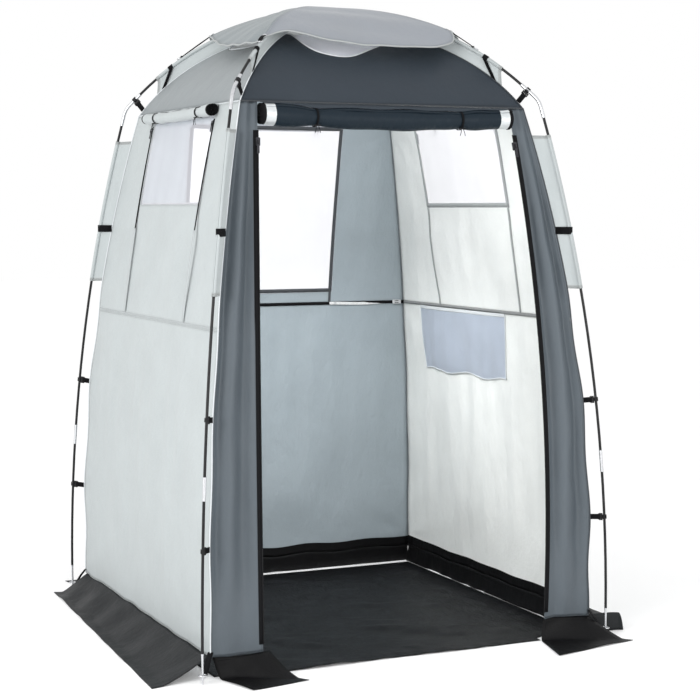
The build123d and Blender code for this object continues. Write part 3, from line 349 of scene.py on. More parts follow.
# silver-coated lining of the dark cloth, given a dull blue-grey instead of the silver of the door's lining:
# painted shade inside the cabin
DARK_INSIDE_PAINTED_SHADE = cloth("dark_cloth_inside", (0.31, 0.36, 0.39), 0.42, crinkle=0.7)
NAVY = cloth("door_cloth", (0.0095, 0.017, 0.025), 0.42, crinkle=0.9, thread=0.5, **DULL)
SILVER = cloth("silver_lining", (0.60, 0.63, 0.64), 0.30, crinkle=1.0, Metallic=0.35)
# one black skirt cloth in two copies: the side and back flaps are painted lighter as a painted reflection of
# the sky, and the front flaps darker as painted shade
SKIRT_PAINTED_LIGHT = cloth("skirt_cloth", (0.017, 0.0185, 0.020), 0.5, crinkle=0.7, thread=0.5, **DULL)
SKIRT_PAINTED_SHADE = cloth("skirt_cloth_front", (0.004, 0.004, 0.0045), 0.5, crinkle=0.7, thread=0.5, **DULL)
BLACK_BAND = cloth("foot_band", (0.004, 0.004, 0.0045), 0.6, thread=0.6, **DULL)
FLOOR_CLOTH = cloth("floor_cloth", (0.006, 0.0065, 0.0075), 0.5, crinkle=0.8, thread=0.5, **DULL)
TRIM = cloth("grey_binding", (0.34, 0.36, 0.36), 0.7, crinkle=0.1)
PALE_TRIM = cloth("pale_binding", (0.62, 0.65, 0.67), 0.7, crinkle=0.1)
DARK_TRIM = cloth("dark_binding", (0.045, 0.050, 0.056), 0.7, crinkle=0.1)
TAPE = webbing("zip_tape", JET)
GREY_TAPE = webbing("grey_tape", (0.30, 0.31, 0.31))
WEB = webbing("black_webbing", (0.005, 0.005, 0.006))
WHITE_WEB = webbing("white_webbing", (0.78, 0.79, 0.79))
CORD = webbing("cord", JET)
COIL = plastic("zip_coil", JET, 0.45)
BLACK_PLASTIC = plastic("black_plastic", JET, 0.45)
PALE_PLASTIC = plastic("pale_plastic", (0.62, 0.63, 0.64), 0.4)
POLE = plastic("pole_black", JET, 0.34, coat=0.12)
STEEL = metal("steel", (0.66, 0.67, 0.69), 0.26)
ZIP_METAL = metal("black_zip_metal", (0.05, 0.05, 0.055), 0.38)
ELASTIC = webbing("elastic_cord", (0.30, 0.30, 0.32))
VENT_NET = net("vent_net", (0.80, 0.81, 0.88), 0.0014, 0.80)
POCKET_NET = net("pocket_net", (0.46, 0.52, 0.62), 0.0022, 0.78)
FILM = film("window_film", (0.90, 0.90, 0.97), 0.42)


# ---------------------------------------------------------------- mesh building
class Build:
    """Gathers grids, tubes and straps, and makes one mesh object of them."""

    def __init__(self):
        self.points, self.faces, self.cloth, self.seam, self.index = [], [], [], [], []
        self.count = 0

    def grid(self, points, cloth_at=None, seam=None, index=0, closed=False, keep=None, caps=False):
        """Rows of points; closed joins each row's end to its start, and keep drops faces."""
        rows, cols = points.shape[:2]
        if closed:
            wrapped = np.concatenate([points, points[:, :1]], 1)
        else:
            wrapped = points
        if cloth_at is None:
            across = np.linalg.norm(np.diff(wrapped, axis=1), axis=2).mean(0)
            along = np.linalg.norm(np.diff(points, axis=0), axis=2).mean(1)
            u = np.concatenate([[0], np.cumsum(across)])
            v = np.concatenate([[0], np.cumsum(along)])
            cloth_at = np.stack(np.broadcast_arrays(u[None, :], v[:, None]), -1)
        if seam is None:
            seam = np.full(wrapped.shape[:2] + (2,), 1.0)
        i, j = np.meshgrid(np.arange(rows - 1), np.arange(wrapped.shape[1] - 1), indexing="ij")
        picked = np.ones(i.shape, bool) if keep is None else keep
        index = np.broadcast_to(index, i.shape)[picked]
        i, j = i[picked], j[picked]
        corners = [(i, j), (i, j + 1), (i + 1, j + 1), (i + 1, j)]
        quads = np.stack([self.count + a * cols + b % cols for a, b in corners], -1)
        self.points.append(points.reshape(-1, 3))
        self.faces += quads.tolist()
        self.cloth += np.stack([cloth_at[a, b] for a, b in corners], 1).reshape(-1, 2).tolist()
        self.seam += np.stack([seam[a, b] for a, b in corners], 1).reshape(-1, 2).tolist()
        self.index += index.tolist()
        if caps and closed:
            for row, order in ((0, -1), (rows - 1, 1)):
                ring = [self.count + row * cols + k for k in range(cols)][::order]
                self.faces.append(ring)
                self.cloth += cloth_at[row, :cols][::order].tolist()
                self.seam += seam[row, :cols][::order].tolist()
                self.index.append(int(index[0]))
        self.count += rows * cols
        return self

    def tube(self, path, radius, index=0, sides=10, aim=None):
        """Round rod along a path; the radius may change along it."""
        path = np.asarray(path, float)
        tangent = np.gradient(path, axis=0)
        tangent /= np.linalg.norm(tangent, axis=1)[:, None]
        aim = np.array(UP if aim is None else aim, float)
        first = np.cross(tangent, aim)
        first /= np.linalg.norm(first, axis=1)[:, None]
        second = np.cross(tangent, first)
        turn = np.linspace(0, 2 * pi, sides, endpoint=False)
        radius = np.broadcast_to(radius, len(path))[:, None, None]
        ring = first[:, None] * np.cos(turn)[:, None] + second[:, None] * np.sin(turn)[:, None]
        return self.grid(path[:, None] + radius * ring, index=index, closed=True, caps=True)

    def strap(self, path, side, width, thick, index=0):
        """Flat band along a path, with its width along the side vector."""
        path, side = np.asarray(path, float), np.asarray(side, float)
        side = np.broadcast_to(side / np.linalg.norm(side), path.shape)
        tangent = np.gradient(path, axis=0)
        tangent /= np.linalg.norm(tangent, axis=1)[:, None]
        out = np.cross(side, tangent)
        out /= np.linalg.norm(out, axis=1)[:, None]
        w, t = np.broadcast_to(width, len(path)) / 2, thick / 2
        profile = [(-1, -0.45), (-0.97, -1), (-0.5, -1), (0, -1), (0.5, -1), (0.97, -1), (1, -0.45)]
        profile += [(-a, -b) for a, b in profile]
        ring = np.stack([side * (w * a)[:, None] + out * t * b for a, b in profile], 1)
        return self.grid(path[:, None] + ring, index=index, closed=True, caps=True)

    def make(self, name, materials, slot, body="tent", nodes=(), smooth_shade=True):
        mesh = bpy.data.meshes.new(name)
        mesh.from_pydata(np.concatenate(self.points).tolist(), [], self.faces)
        for layer_name, values in (("cloth", self.cloth), ("seam", self.seam)):
            layer = mesh.uv_layers.new(name=layer_name)
            layer.data.foreach_set("uv", np.array(values, np.float32).ravel())
        for material in materials:
            mesh.materials.append(material)
        mesh.polygons.foreach_set("material_index", self.index)
        mesh.polygons.foreach_set("use_smooth", [smooth_shade] * len(self.faces))
        mesh.update()
        made = bpy.data.objects.new(name, mesh)
        bpy.context.scene.collection.objects.link(made)
        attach(made, body)
        if nodes:
            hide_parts(*nodes)
        return made


def solid(made, thickness=CLOTH, offset=-1.0, lined=True):
    """Give a sheet its thickness; its lining is the material after its own."""
    modifier = made.modifiers.new("thickness", "SOLIDIFY")
    modifier.thickness = thickness
    modifier.offset = offset
    modifier.material_offset = 1 if lined else 0
    modifier.material_offset_rim = 0
    return made


def segments(*stops, step=0.012):
    """Numbers from the first stop to the last, with every stop among them."""
    parts = []
    for low, high in zip(stops, stops[1:]):
        count = max(1, int(round(abs(high - low) / step)))
        parts.append(np.linspace(low, high, count, endpoint=False))
    return np.concatenate(parts + [[stops[-1]]])


def middles(values):
    """Halfway between each number and the next."""
    return (values[1:] + values[:-1]) / 2


# ---------------------------------------------------------------- walls
HELD = (0.082, 0.422, 0.834, 1.219)  # heights at which a corner is held out
CORNER_SLACK = 0.006
BAND_TOP = 0.108  # upper edge of the black band at the foot
WALL_SEED = {"right": 11, "back": 23, "left": 37}
ORDER = {"right": 0, "back": 1, "left": 2, "front": 3}  # added to the first seed of other parts
PULLS = ((1.80, 0.22, 9), (WAIST_H, 0.16, 7), (0.12, 0.24, 8))  # creases: height, reach, count


def cloth_of(side_name):
    """A wall's outer cloth, its lining and its slot."""
    if side_name in ("front", "back"):
        return DARK, DARK_INSIDE_PAINTED_SHADE, "dark_cloth"
    return LIGHT, LIGHT_INSIDE, "light_cloth"


def corner_ease(height):
    """How far a corner's seam falls back towards the cabin between two clips."""
    ease = np.zeros_like(height)
    for low, high in zip(HELD, HELD[1:]):
        inside = (height > low) & (height < high)
        between = np.sin(pi * (height - low) / (high - low))
        ease = np.where(inside, CORNER_SLACK * between**2, ease)
    return ease


def corner_at(height):
    """Half width of a wall between its two corner seams."""
    return wall_half(height) - corner_ease(height)


def wall_grid(heights, step=0.012):
    """Across positions that meet the window's sides and the corners, for each height."""
    edge = corner_at(heights)
    share = segments(0.0, 1.0, step=step / 0.2)
    inner = segments(-WINDOW_HALF, WINDOW_HALF, step=step)
    outer = WINDOW_HALF + (edge[:, None] - WINDOW_HALF) * share[None, 1:]
    rows = np.broadcast_to(inner, (len(heights), len(inner)))
    return np.concatenate([-outer[:, ::-1], rows, outer], 1), edge


def wall_push(side_name, across, height, edge):
    """How far a wall's cloth stands in or out of the plain curved wall."""
    t = across / edge[:, None]
    seed = WALL_SEED[side_name]
    ends = smooth(WALL_FOOT_H, 0.35, height) * (1 - smooth(1.60, EAVE_H, height))
    waist = 1 - 0.55 * np.exp(-(((height - WAIST_H) / 0.10) ** 2))
    slack = -0.010 * (1 - t**2) * ends * waist
    soft = 0.0042 * waves(across, height * 0.45, 0.42, seed)
    folds = 0.0022 * waves(across, height * 0.22, 0.16, seed + 1)
    push = slack + (soft + folds) * (0.25 + 0.75 * ends) * waist
    for at_h, size, count in PULLS:
        for end in (-1, 1):
            at = (end * float(wall_half(at_h)), at_h)
            push = push + creases(across, height, at, size, count, 0.0035, phase=seed + end)
    # the window's seams hold the cloth flatter around it
    beside = np.maximum(np.abs(across) - WINDOW_HALF - 0.02, 0)
    below = np.maximum(WINDOW_LOW[side_name] - 0.02 - height, 0)
    push = push * (0.35 + 0.65 * smooth(0.0, 0.12, np.hypot(beside, below)))
    return push * np.clip(1 - t**6, 0, 1) - corner_ease(height) * np.abs(t) ** 8


def foot_wave(side_name, across, height):
    """A wavy bottom seam, pulled up and down by the skirt."""
    fade = 1 - smooth(WALL_FOOT_H, 0.22, height)
    return 0.003 * waves(across, 0 * across, 0.30, 5 + ORDER[side_name], 4) * fade


def wall(side_name, level):
    """The lower or the upper panel of a wall, lined inside; the upper one has the window."""
    window_low = WINDOW_LOW[side_name]
    low, high, *stops = {
        "lower": (WALL_FOOT_H, WAIST_H, BAND_TOP),
        "upper": (WAIST_H, EAVE_H, window_low, WINDOW_TOP),
    }[level]
    heights = segments(low, *stops, high)
    across, edge = wall_grid(heights)
    height = np.broadcast_to(heights[:, None], across.shape)
    reach = wall_half(height) + wall_push(side_name, across, height, edge)
    lift = foot_wave(side_name, across, height)
    mid_h, mid_a = middles(heights)[:, None], middles(across[0])
    at_window = (mid_h > window_low) & (mid_h < WINDOW_TOP) & (np.abs(mid_a) < WINDOW_HALF)
    index = np.where(mid_h < BAND_TOP, 2, 0)
    to_side, to_end = edge[:, None] - np.abs(across), np.minimum(height - low, high - height)
    outer, inner, slot = cloth_of(side_name)
    made = Build().grid(
        place(SIDES[side_name], reach, across, height + lift), np.stack([across, height], -1),
        np.stack([to_side, to_end], -1), index, keep=~at_window,
    ).make(f"wall_{side_name}_{level}", [outer, inner, outer, BLACK_BAND], slot,
           nodes=[f"{side_name}_wall_{level}"])
    solid(made)


for side_name in WINDOW_LOW:
    wall(side_name, "lower")
    wall(side_name, "upper")


def front_panel(side, name):
    """Panel beside the doorway, with long upright folds."""
    heights = segments(WALL_FOOT_H, BAND_TOP, EAVE_H)
    edge, near = corner_at(heights)[:, None], door_half(heights)[:, None]
    share = np.linspace(0, 1, 30)[::side]
    across = side * (near + (edge - near) * share)
    height = np.broadcast_to(heights[:, None], across.shape)
    s = np.broadcast_to(share, across.shape)
    rise = smooth(WALL_FOOT_H, 0.5, height) * (1 - smooth(1.35, 1.80, height))
    swing = 0.10 * np.sin(2.1 * height + side) + 0.05 * np.sin(5.3 * height)
    fold = np.cos(2 * pi * (1.55 * s + swing + (0.12 if side > 0 else 0.0)))
    fine = 0.0016 * waves(across, height * 0.3, 0.07, 71 + side)
    hold = smooth(0.0, 0.30, s) * (1 - smooth(0.80, 1.0, s))
    push = (-0.015 + 0.014 * fold) * (0.25 + 0.75 * rise) * hold + fine * hold
    push = push - corner_ease(height) * s**8
    lift = foot_wave("front", across, height)
    index = np.where(middles(heights) < BAND_TOP, 2, 0)[:, None]
    to_side = np.minimum(edge - np.abs(across), np.abs(across) - near)
    to_end = np.minimum(height - WALL_FOOT_H, EAVE_H - height)
    made = Build().grid(
        place(SIDES["front"], wall_half(height) + push, across, height + lift),
        np.stack([across, height], -1), np.stack([to_side, to_end], -1), index,
    ).make(f"panel_front_{name}", [DARK, DARK_INSIDE_PAINTED_SHADE, DARK, BLACK_BAND], "dark_cloth",
           nodes=[f"front_panel_{name}"])
    solid(made)


front_panel(-1, "left")
front_panel(1, "right")


# ---------------------------------------------------------------- roof
VENT_RIDGE, VENT_MIDDLE = 0.250, 0.360  # distance out of the vent's edge, at a ridge and between
LEFT_VENT_DEPTH = 0.045
VENT_NET_HALF, VENT_NET_DROP = 0.392, 0.019
GORE_LENGTH, GORE_SLOPE = 0.38, 0.42  # mean length as cut, and the way down its middle
# The front gore's cut-out: place along it between the ridges (-1 to 1) and distance out.
FRONT_VENT = [(-1, 0.250), (-0.88, 0.262), (-0.58, 0.343), (-0.42, 0.374), (-0.23, 0.378),
              (-0.09, 0.360), (0.24, 0.305), (0.6, 0.262), (1, 0.250)]


def drawn_edge(stops, t, softness):
    """Distance out at t, from (place, distance) stops with the bends between them rounded."""
    places, reaches = zip(*stops)
    blur = softness * (1 - t**6)
    return sum(np.interp(t + shift * blur, places, reaches) for shift in (-2, -1, 0, 1, 2)) / 5


def vent_edge(side_name, t):
    """How far out the roof is cut away for the vent, along the edge of one gore."""
    if side_name == "front":
        return drawn_edge(FRONT_VENT, t, 0.06)
    deep = LEFT_VENT_DEPTH if side_name == "left" else VENT_MIDDLE - VENT_RIDGE
    return VENT_RIDGE + deep * (1 - t**4)


def gore_points(side_name, t, reach, lift=0.0):
    """Points of a roof gore: t runs between its ridges, reach out from the middle."""
    sag = 0.010 * (1 - t**2) * np.sin(pi * np.clip((EAVE_HALF - reach) / 0.29, 0, 1))
    soft = 0.0022 * waves(t * reach, reach, 0.20, 81 + ORDER[side_name]) * (1 - t**4)
    soft = soft * smooth(0, 0.05, EAVE_HALF - reach)
    height = dome(reach, ROOF_TOP, ROOF_RADIUS) - sag + soft + lift
    return place(SIDES[side_name], reach, t * reach, height)


def roof_gore(side_name):
    """One of the roof's four gores, with the vent's binding along its cut-out."""
    t, share = np.linspace(-1, 1, 91), np.linspace(0, 1, 28)[:, None]
    top = vent_edge(side_name, t)
    reach = EAVE_HALF + (top - EAVE_HALF) * share
    tt, slope = np.broadcast_to(t, reach.shape), np.broadcast_to(share * GORE_SLOPE, reach.shape)
    seam = np.stack([(1 - np.abs(tt)) * reach / ROOT2, np.minimum(slope, GORE_SLOPE - slope)], -1)
    # the roof gores take darker copies of the wall cloths: painted shade
    outer = DARK_ROOF_PAINTED_SHADE if side_name in ("front", "back") else LIGHT_ROOF_PAINTED_SHADE
    _, inner, slot = cloth_of(side_name)
    made = Build().grid(
        gore_points(side_name, tt, reach), np.stack([tt * reach, slope], -1), seam
    ).make(f"roof_gore_{side_name}", [outer, inner], slot, nodes=[f"roof_{side_name}"])
    solid(made)
    trim = Build().tube(gore_points(side_name, t, top, lift=0.001), 0.0028)
    binding = trim.make(f"vent_binding_{side_name}", [PALE_TRIM], "light_cloth")


for side_name in SIDES:
    roof_gore(side_name)


def vent_netting():
    """Netting that sags a little below the cut-outs in the roof."""
    s, t = np.meshgrid(np.linspace(-1, 1, 61), np.linspace(-1, 1, 61))
    x, y = VENT_NET_HALF * s, VENT_NET_HALF * t
    sag = 0.008 + 0.005 * waves(x, y, 0.3, 90)
    height = dome(np.maximum(np.abs(x), np.abs(y)), ROOF_TOP, ROOF_RADIUS)
    height = height - VENT_NET_DROP - sag * (1 - np.maximum(np.abs(s), np.abs(t)) ** 4)
    made = Build().grid(np.stack([x, y, height], -1), np.stack([x, y], -1)).make(
        "vent_netting", [VENT_NET], "white_mesh", nodes=["vent_mesh"]
    )


vent_netting()


# ---------------------------------------------------------------- fly cap
# The cap's edge in each gore: place along it from its left end (-1) to its right end (1) for
# someone outside, and distance out from the middle.
CAP_EDGES = {
    "front": [(-1, 0.392), (-0.88, 0.374), (-0.7, 0.386), (-0.47, 0.405), (-0.25, 0.418),
              (0.04, 0.428), (0.43, 0.430), (0.71, 0.419), (0.86, 0.388), (1, 0.342)],
    "right": [(-1, 0.342), (-0.86, 0.384), (-0.6, 0.418), (0, 0.430),
              (0.6, 0.418), (0.86, 0.384), (1, 0.342)],
    "back": [(-1, 0.342), (-0.86, 0.384), (-0.6, 0.418), (0, 0.425),
             (0.6, 0.390), (0.86, 0.350), (1, 0.320)],
    "left": [(-1, 0.320), (-0.69, 0.340), (0, 0.398), (0.47, 0.426),
             (0.8, 0.432), (0.93, 0.424), (1, 0.392)],
}
TINY = 1e-9


def ends_dense(count):
    """From -1 to 1, closer together towards both ends."""
    return np.sin(np.linspace(-pi / 2, pi / 2, count))


def cap_edge(x, y):
    """Distance out to the cap's edge, for a direction given by x and y in -1..1."""
    x, y = np.asarray(x, float), np.asarray(y, float)
    big = np.maximum(np.maximum(np.abs(x), np.abs(y)), TINY)
    edge = np.full(big.shape, CAP_HALF)
    for side_name, stops in CAP_EDGES.items():
        out, side = heading(SIDES[side_name]), sideways(SIDES[side_name])
        t = np.clip((x * side[0] + y * side[1]) / big, -1, 1)
        in_gore = x * out[0] + y * out[1] >= big * 0.999999
        edge = np.where(in_gore, drawn_edge(stops, t, 0.07), edge)
    return edge


def cap_height(x, y):
    """Height of the cap above a point of its plan."""
    half = np.maximum(np.abs(x), np.abs(y))
    other = np.minimum(np.abs(x), np.abs(y)) / np.maximum(half, TINY)
    dip = 0.010 * (1 - other**2) * smooth(0.08, 0.42, half)
    drop = 0.021 * smooth(0.75, 1.0, other) * smooth(0.30, 0.39, half)
    lift = np.where((x < 0) & (y < 0), -drop, 0)
    soft = 0.0030 * waves(x, y, 0.22, 95) * smooth(0.05, 0.2, half)
    return dome(half, CAP_TOP, CAP_RADIUS) - dip + lift + soft * (1 - other**6)


def cap_cloth():
    """The cap: one sheet of four gores in darker copies of the light cloth, painted shade; the front one a
    little bluer and lighter.
    """
    square_x, square_y = np.meshgrid(ends_dense(101), ends_dense(101))
    edge = cap_edge(square_x, square_y)
    x, y = square_x * edge, square_y * edge
    to_rim = (1 - np.maximum(np.abs(square_x), np.abs(square_y))) * edge
    to_ridge = np.abs(np.abs(x) - np.abs(y)) / ROOT2
    mid_x = (square_x[1:, 1:] + square_x[:-1, :-1]) / 2
    mid_y = (square_y[1:, 1:] + square_y[:-1, :-1]) / 2
    # the front gore gets its own copy of the cap cloth, with less painted shade
    index = np.where((mid_y < 0) & (np.abs(mid_y) > np.abs(mid_x)), 2, 0)
    made = Build().grid(
        np.stack([x, y, cap_height(x, y)], -1), np.stack([x, y], -1),
        np.stack([to_ridge, to_rim], -1), index,
    ).make("fly_cap_cloth", [CAP_PAINTED_SHADE, LIGHT_INSIDE, CAP_FRONT_PAINTED_SHADE, LIGHT_INSIDE], "light_cloth",
           "fly_cap", ["fly_cap"])
    return solid(made)


def cap_binding():
    """Bound edge all round the cap."""
    q = ends_dense(60)[:-1]
    one = np.ones_like(q)
    around = [np.concatenate([q, one, -q, -one]), np.concatenate([-one, q, one, -q])]
    x, y = np.array(around) * cap_edge(*around)
    path = np.stack([x, y, cap_height(x, y)], -1)
    along = np.roll(path, -1, 0) - np.roll(path, 1, 0)
    along /= np.linalg.norm(along, axis=1)[:, None]
    out = np.cross(along, UP)
    out /= np.linalg.norm(out, axis=1)[:, None]
    turn = np.linspace(0, 2 * pi, 8, endpoint=False)[:, None]
    rings = path[:, None] + (out[:, None] * np.cos(turn) * 0.0022 + UP * np.sin(turn) * 0.0030)
    rings = np.concatenate([rings, rings[:1]])
    return Build().grid(rings, closed=True).make("cap_binding", [TRIM], "light_cloth", "fly_cap")


cap_cloth()
cap_binding()


# ---------------------------------------------------------------- sleeves
SLEEVE_HEM = 0.016
SLEEVE_WRAP = (radians(186), radians(534))  # way round the pole, from seam to seam


def sleeve(name, node, angle, line, cabin):
    """Cloth flag that runs from the cabin out to a pole and round it."""
    side, out = sideways(angle), heading(angle)
    tangent = np.gradient(line, axis=0)
    tangent /= np.linalg.norm(tangent, axis=1)[:, None]
    to_cabin = cabin - line
    to_cabin -= (to_cabin * tangent).sum(1)[:, None] * tangent
    to_cabin /= np.linalg.norm(to_cabin, axis=1)[:, None]
    near = line + to_cabin * SLEEVE_R
    columns = []
    for share in np.linspace(0, 1, 9)[:-1]:
        bow = 0.0030 * sin(pi * share) * np.sin(np.linspace(0, 9.0, len(line)) + angle)
        columns.append((cabin + (near - cabin) * share, bow[:, None]))
    fin = len(columns)
    for turn in np.linspace(*SLEEVE_WRAP, 19):
        columns.append((line + to_cabin * cos(turn) * SLEEVE_R, SLEEVE_R * sin(turn)))
    grid = np.stack([flat[:, :1] * out + flat[:, 1:] * UP + off * side for flat, off in columns], 1)
    run = np.concatenate([[0], np.cumsum(np.linalg.norm(np.diff(line, axis=0), axis=1))])
    across = np.concatenate([[0], np.cumsum(np.linalg.norm(np.diff(grid, axis=1), axis=2).mean(0))])
    to_end = np.minimum(run, run[-1] - run)
    index = np.where(middles(to_end) < SLEEVE_HEM, 2, 0)[:, None]
    cloth_at = np.stack(np.broadcast_arrays(across, run[:, None]), -1)
    seam = np.stack(np.broadcast_arrays(np.abs(across - across[fin]), to_end[:, None]), -1)
    made = Build().grid(grid, cloth_at, seam, index).make(
        name, [LIGHT, LIGHT, TRIM, TRIM], "light_cloth", nodes=[node]
    )
    solid(made, 0.0007)


for corner, angle in CORNERS.items():
    h = np.linspace(*LEG_SLEEVE_H, 45)
    leg_line, cabin_line = np.stack([leg_r(h), h], 1), np.stack([wall_half(h) * ROOT2, h], 1)
    sleeve(f"leg_sleeve_{corner}", "leg_sleeves", angle, leg_line, cabin_line)
    r = np.linspace(*ROOF_SLEEVE_R, 50)
    roof_line = np.stack([r, roof_h(r, APEX_OF[corner])], 1)
    cabin_line = np.stack([r, dome(r / ROOT2, ROOF_TOP, ROOF_RADIUS) + 0.0005], 1)
    sleeve(f"roof_sleeve_{corner}", "roof_sleeves", angle, roof_line, cabin_line)


# ---------------------------------------------------------------- webbing at the poles
LEG_GRIP, HOOK_GRIP = 0.00475, 0.0063  # half the width of what a clip holds
# One face of a clip's webbing: distance past the grip, and out from the clip's middle.
WEB_STEPS = [(0.0098, 0.0), (0.0100, 0.0030), (0.0130, 0.0036), (0.0170, 0.0026), (0.0205, 0.0011)]
WEB_STITCH, STITCH_HALF = 0.0215, 0.0080
LEG_BAND_H, ROOF_LOOP_R = 1.420, 0.612  # where a band goes round each sleeve
LOOP_RADIUS, LOOP_GAP = 0.0082, 0.0016


def in_plane(angle, points, off=0.0):
    """World points of (r, h) pairs in the upright plane of a corner, or this far beside it."""
    points = np.asarray(points, float)
    flat = points[:, :1] * heading(angle) + points[:, 1:] * UP
    return flat + sideways(angle) * np.reshape(off, (-1, 1))


def leg_up(height):
    """Direction up along a leg at this height."""
    radial = np.array([leg_r(height) - LEG_CENTRE[0], height - LEG_CENTRE[1]])
    return np.array([-radial[1], radial[0]]) / LEG_RADIUS


def clip_places(apex):
    """For each clip of a corner: its point on the pole, the way up the pole, grip and web length."""
    places = []
    for height in CLIP_HEIGHTS:
        reach = float(leg_r(height) - wall_half(height) * ROOT2 - 0.002)
        places.append((np.array([leg_r(height), height]), leg_up(height), LEG_GRIP, reach))
    slope = asin(ROOF_START[0] / roof_radius(apex))
    down = np.array([cos(slope), -sin(slope)])
    places.append((np.array(ROOF_START) + ELBOW_HOOK * down, -down, HOOK_GRIP, ELBOW_WEB))
    return places


def clip_webs(webs, angle, apex):
    """Webbing from both faces of each clip to the cabin, with a stitch across it."""
    side = sideways(angle)
    for origin, along, grip, reach in clip_places(apex):
        up = along / np.hypot(*along)
        inward = np.array([-up[1], up[0]])
        far, off = np.array([(grip + past, off) for past, off in WEB_STEPS] + [(reach, 0.0009)]).T
        path = origin + inward * far[:, None]
        for face in (-1, 1):
            webs.strap(in_plane(angle, path, face * off), in_plane(angle, [up])[0], 0.0185, 0.0011)
        bar = origin + inward * (grip + WEB_STITCH)
        ends = np.array([bar - up * STITCH_HALF, bar + up * STITCH_HALF])
        webs.tube(in_plane(angle, ends, 0.0022), 0.0006, 0, 6, aim=side)


def ground_tab(webs, angle):
    """Doubled tab from the foot of the cabin's corner to the foot of the leg."""
    low = np.array([leg_r(0.028) - 0.0148, 0.024])
    high = np.array([WALL_MAX * ROOT2 - 0.004, 0.086])
    share = np.linspace(0, 1, 9)[:, None]
    path = low + (high - low) * share + np.array([0.0, 0.004]) * np.sin(pi * share)
    for lift in (0.0, 0.0022):
        webs.strap(in_plane(angle, path + [0.0, lift]), sideways(angle), 0.019, 0.0013)


def leg_band(webs, angle):
    """Band round the sleeve of a leg."""
    out_r, in_r = float(leg_r(LEG_BAND_H)), float(wall_half(LEG_BAND_H) * ROOT2)
    turn = np.linspace(-pi * 0.55, pi * 0.55, 13)
    reach = np.array([in_r, *(out_r + LOOP_RADIUS * np.cos(turn)), in_r])
    off = [-LOOP_GAP, *(LOOP_RADIUS * np.sin(turn)), LOOP_GAP]
    path = np.stack([reach, np.full_like(reach, LEG_BAND_H)], 1)
    webs.strap(in_plane(angle, path, off), UP, 0.026, 0.0012)


def roof_loop(webs, angle, apex):
    """Band round the outer end of a roof sleeve."""
    slope = asin(ROOF_LOOP_R / roof_radius(apex))
    along, above = np.array([cos(slope), -sin(slope)]), np.array([sin(slope), cos(slope)])
    foot_r = ROOF_LOOP_R + 0.030
    foot = [foot_r, float(dome(foot_r / ROOT2, ROOF_TOP, ROOF_RADIUS)) + 0.001]
    turn = np.linspace(-0.5 * pi, 1.5 * pi, 25)[3:-3]
    middle = np.array([ROOF_LOOP_R, float(roof_h(ROOF_LOOP_R, apex))])
    ring = middle + above * (LOOP_RADIUS * np.sin(turn))[:, None]
    off = [LOOP_GAP, *(LOOP_RADIUS * np.cos(turn)), -LOOP_GAP]
    path = np.concatenate([[foot], ring, [foot]])
    webs.strap(in_plane(angle, path, off), in_plane(angle, [along])[0], 0.020, 0.0012)


for corner, angle in CORNERS.items():
    webs = Build()
    clip_webs(webs, angle, APEX_OF[corner])
    ground_tab(webs, angle)
    leg_band(webs, angle)
    roof_loop(webs, angle, APEX_OF[corner])
    webs.make(f"webbing_{corner}", [WEB], "black_webbing", nodes=["clip_webbing"])


# ---------------------------------------------------------------- ties of the fly cap
CAP_RING_R = 0.577  # where the cap is tied to each roof pole


def knot(build, at, size):
    """Small overhand knot: a short closed curl of cord."""
    a = np.linspace(0, 2 * pi, 49)
    curl = np.stack([np.sin(a) + 2 * np.sin(2 * a), np.cos(a) - 2 * np.cos(2 * a), -np.sin(3 * a)], 1)
    build.tube(np.asarray(at) + curl * size / 3, size * 0.34, 0, 8, aim=(0.3, 0.2, 1))


def cap_tie(corner, angle, tip, ring):
    """A wide tape at the front left corner, a knotted double cord at the others."""
    tie, material = Build(), CORD
    if corner == "front_left":
        material = WEB
        share = np.linspace(0, 1, 8)[:, None]
        path = tip + (ring + [0.006, 0.001] - tip) * share + np.array([0, 0.004]) * np.sin(pi * share)
        tie.strap(in_plane(angle, path), sideways(angle), 0.014, 0.0014)
    else:
        share = np.linspace(0, 1, 14)[:, None]
        path = tip + (ring + [-0.004, 0.002] - tip) * share
        for face in (-1, 1):
            off = face * 0.0035 * np.sin(pi * share * 0.9 + 0.3)
            tie.tube(in_plane(angle, path, off), 0.0015, 0, 8)
        knot(tie, in_plane(angle, [ring + [-0.012, 0.006]])[0], 0.0052)
    tie.make(f"cap_tie_{corner}", [material], "elastic_cord", "fly_cap", ["cap_ties"])


def cap_eyelet(corner, angle, tip):
    """Steel eyelet that lies in the slope of the cap's corner."""
    big = np.linspace(0, 2 * pi, 24, endpoint=False)[:, None]
    small = np.linspace(0, 2 * pi, 8, endpoint=False)
    size = 0.0060 * (1 + 0.30 * np.cos(small))
    along, lift = np.cos(big) * size, 0.0014 * np.sin(small) * 0.8
    rings = place(angle, tip[0] + 0.80 * along, np.sin(big) * size, tip[1] - 0.60 * along + lift)
    eyelet = Build().grid(np.concatenate([rings, rings[:1]]), closed=True)
    eyelet.make(f"cap_eyelet_{corner}", [STEEL], "steel", "fly_cap")


for corner, angle in CORNERS.items():
    spot = np.sign(heading(angle)[:2])
    edge = float(cap_edge(*spot))
    tip = np.array([edge * ROOT2 - 0.012, float(cap_height(*(spot * (edge - 0.008))))])
    ring = np.array([CAP_RING_R, float(roof_h(CAP_RING_R, APEX_OF[corner])) + 0.0105])
    cap_tie(corner, angle, tip, ring)
    cap_eyelet(corner, angle, tip)


# ---------------------------------------------------------------- windows
FILM_LAP, BINDING_HALF = 0.010, 0.007
STRIP_STEP = 0.02


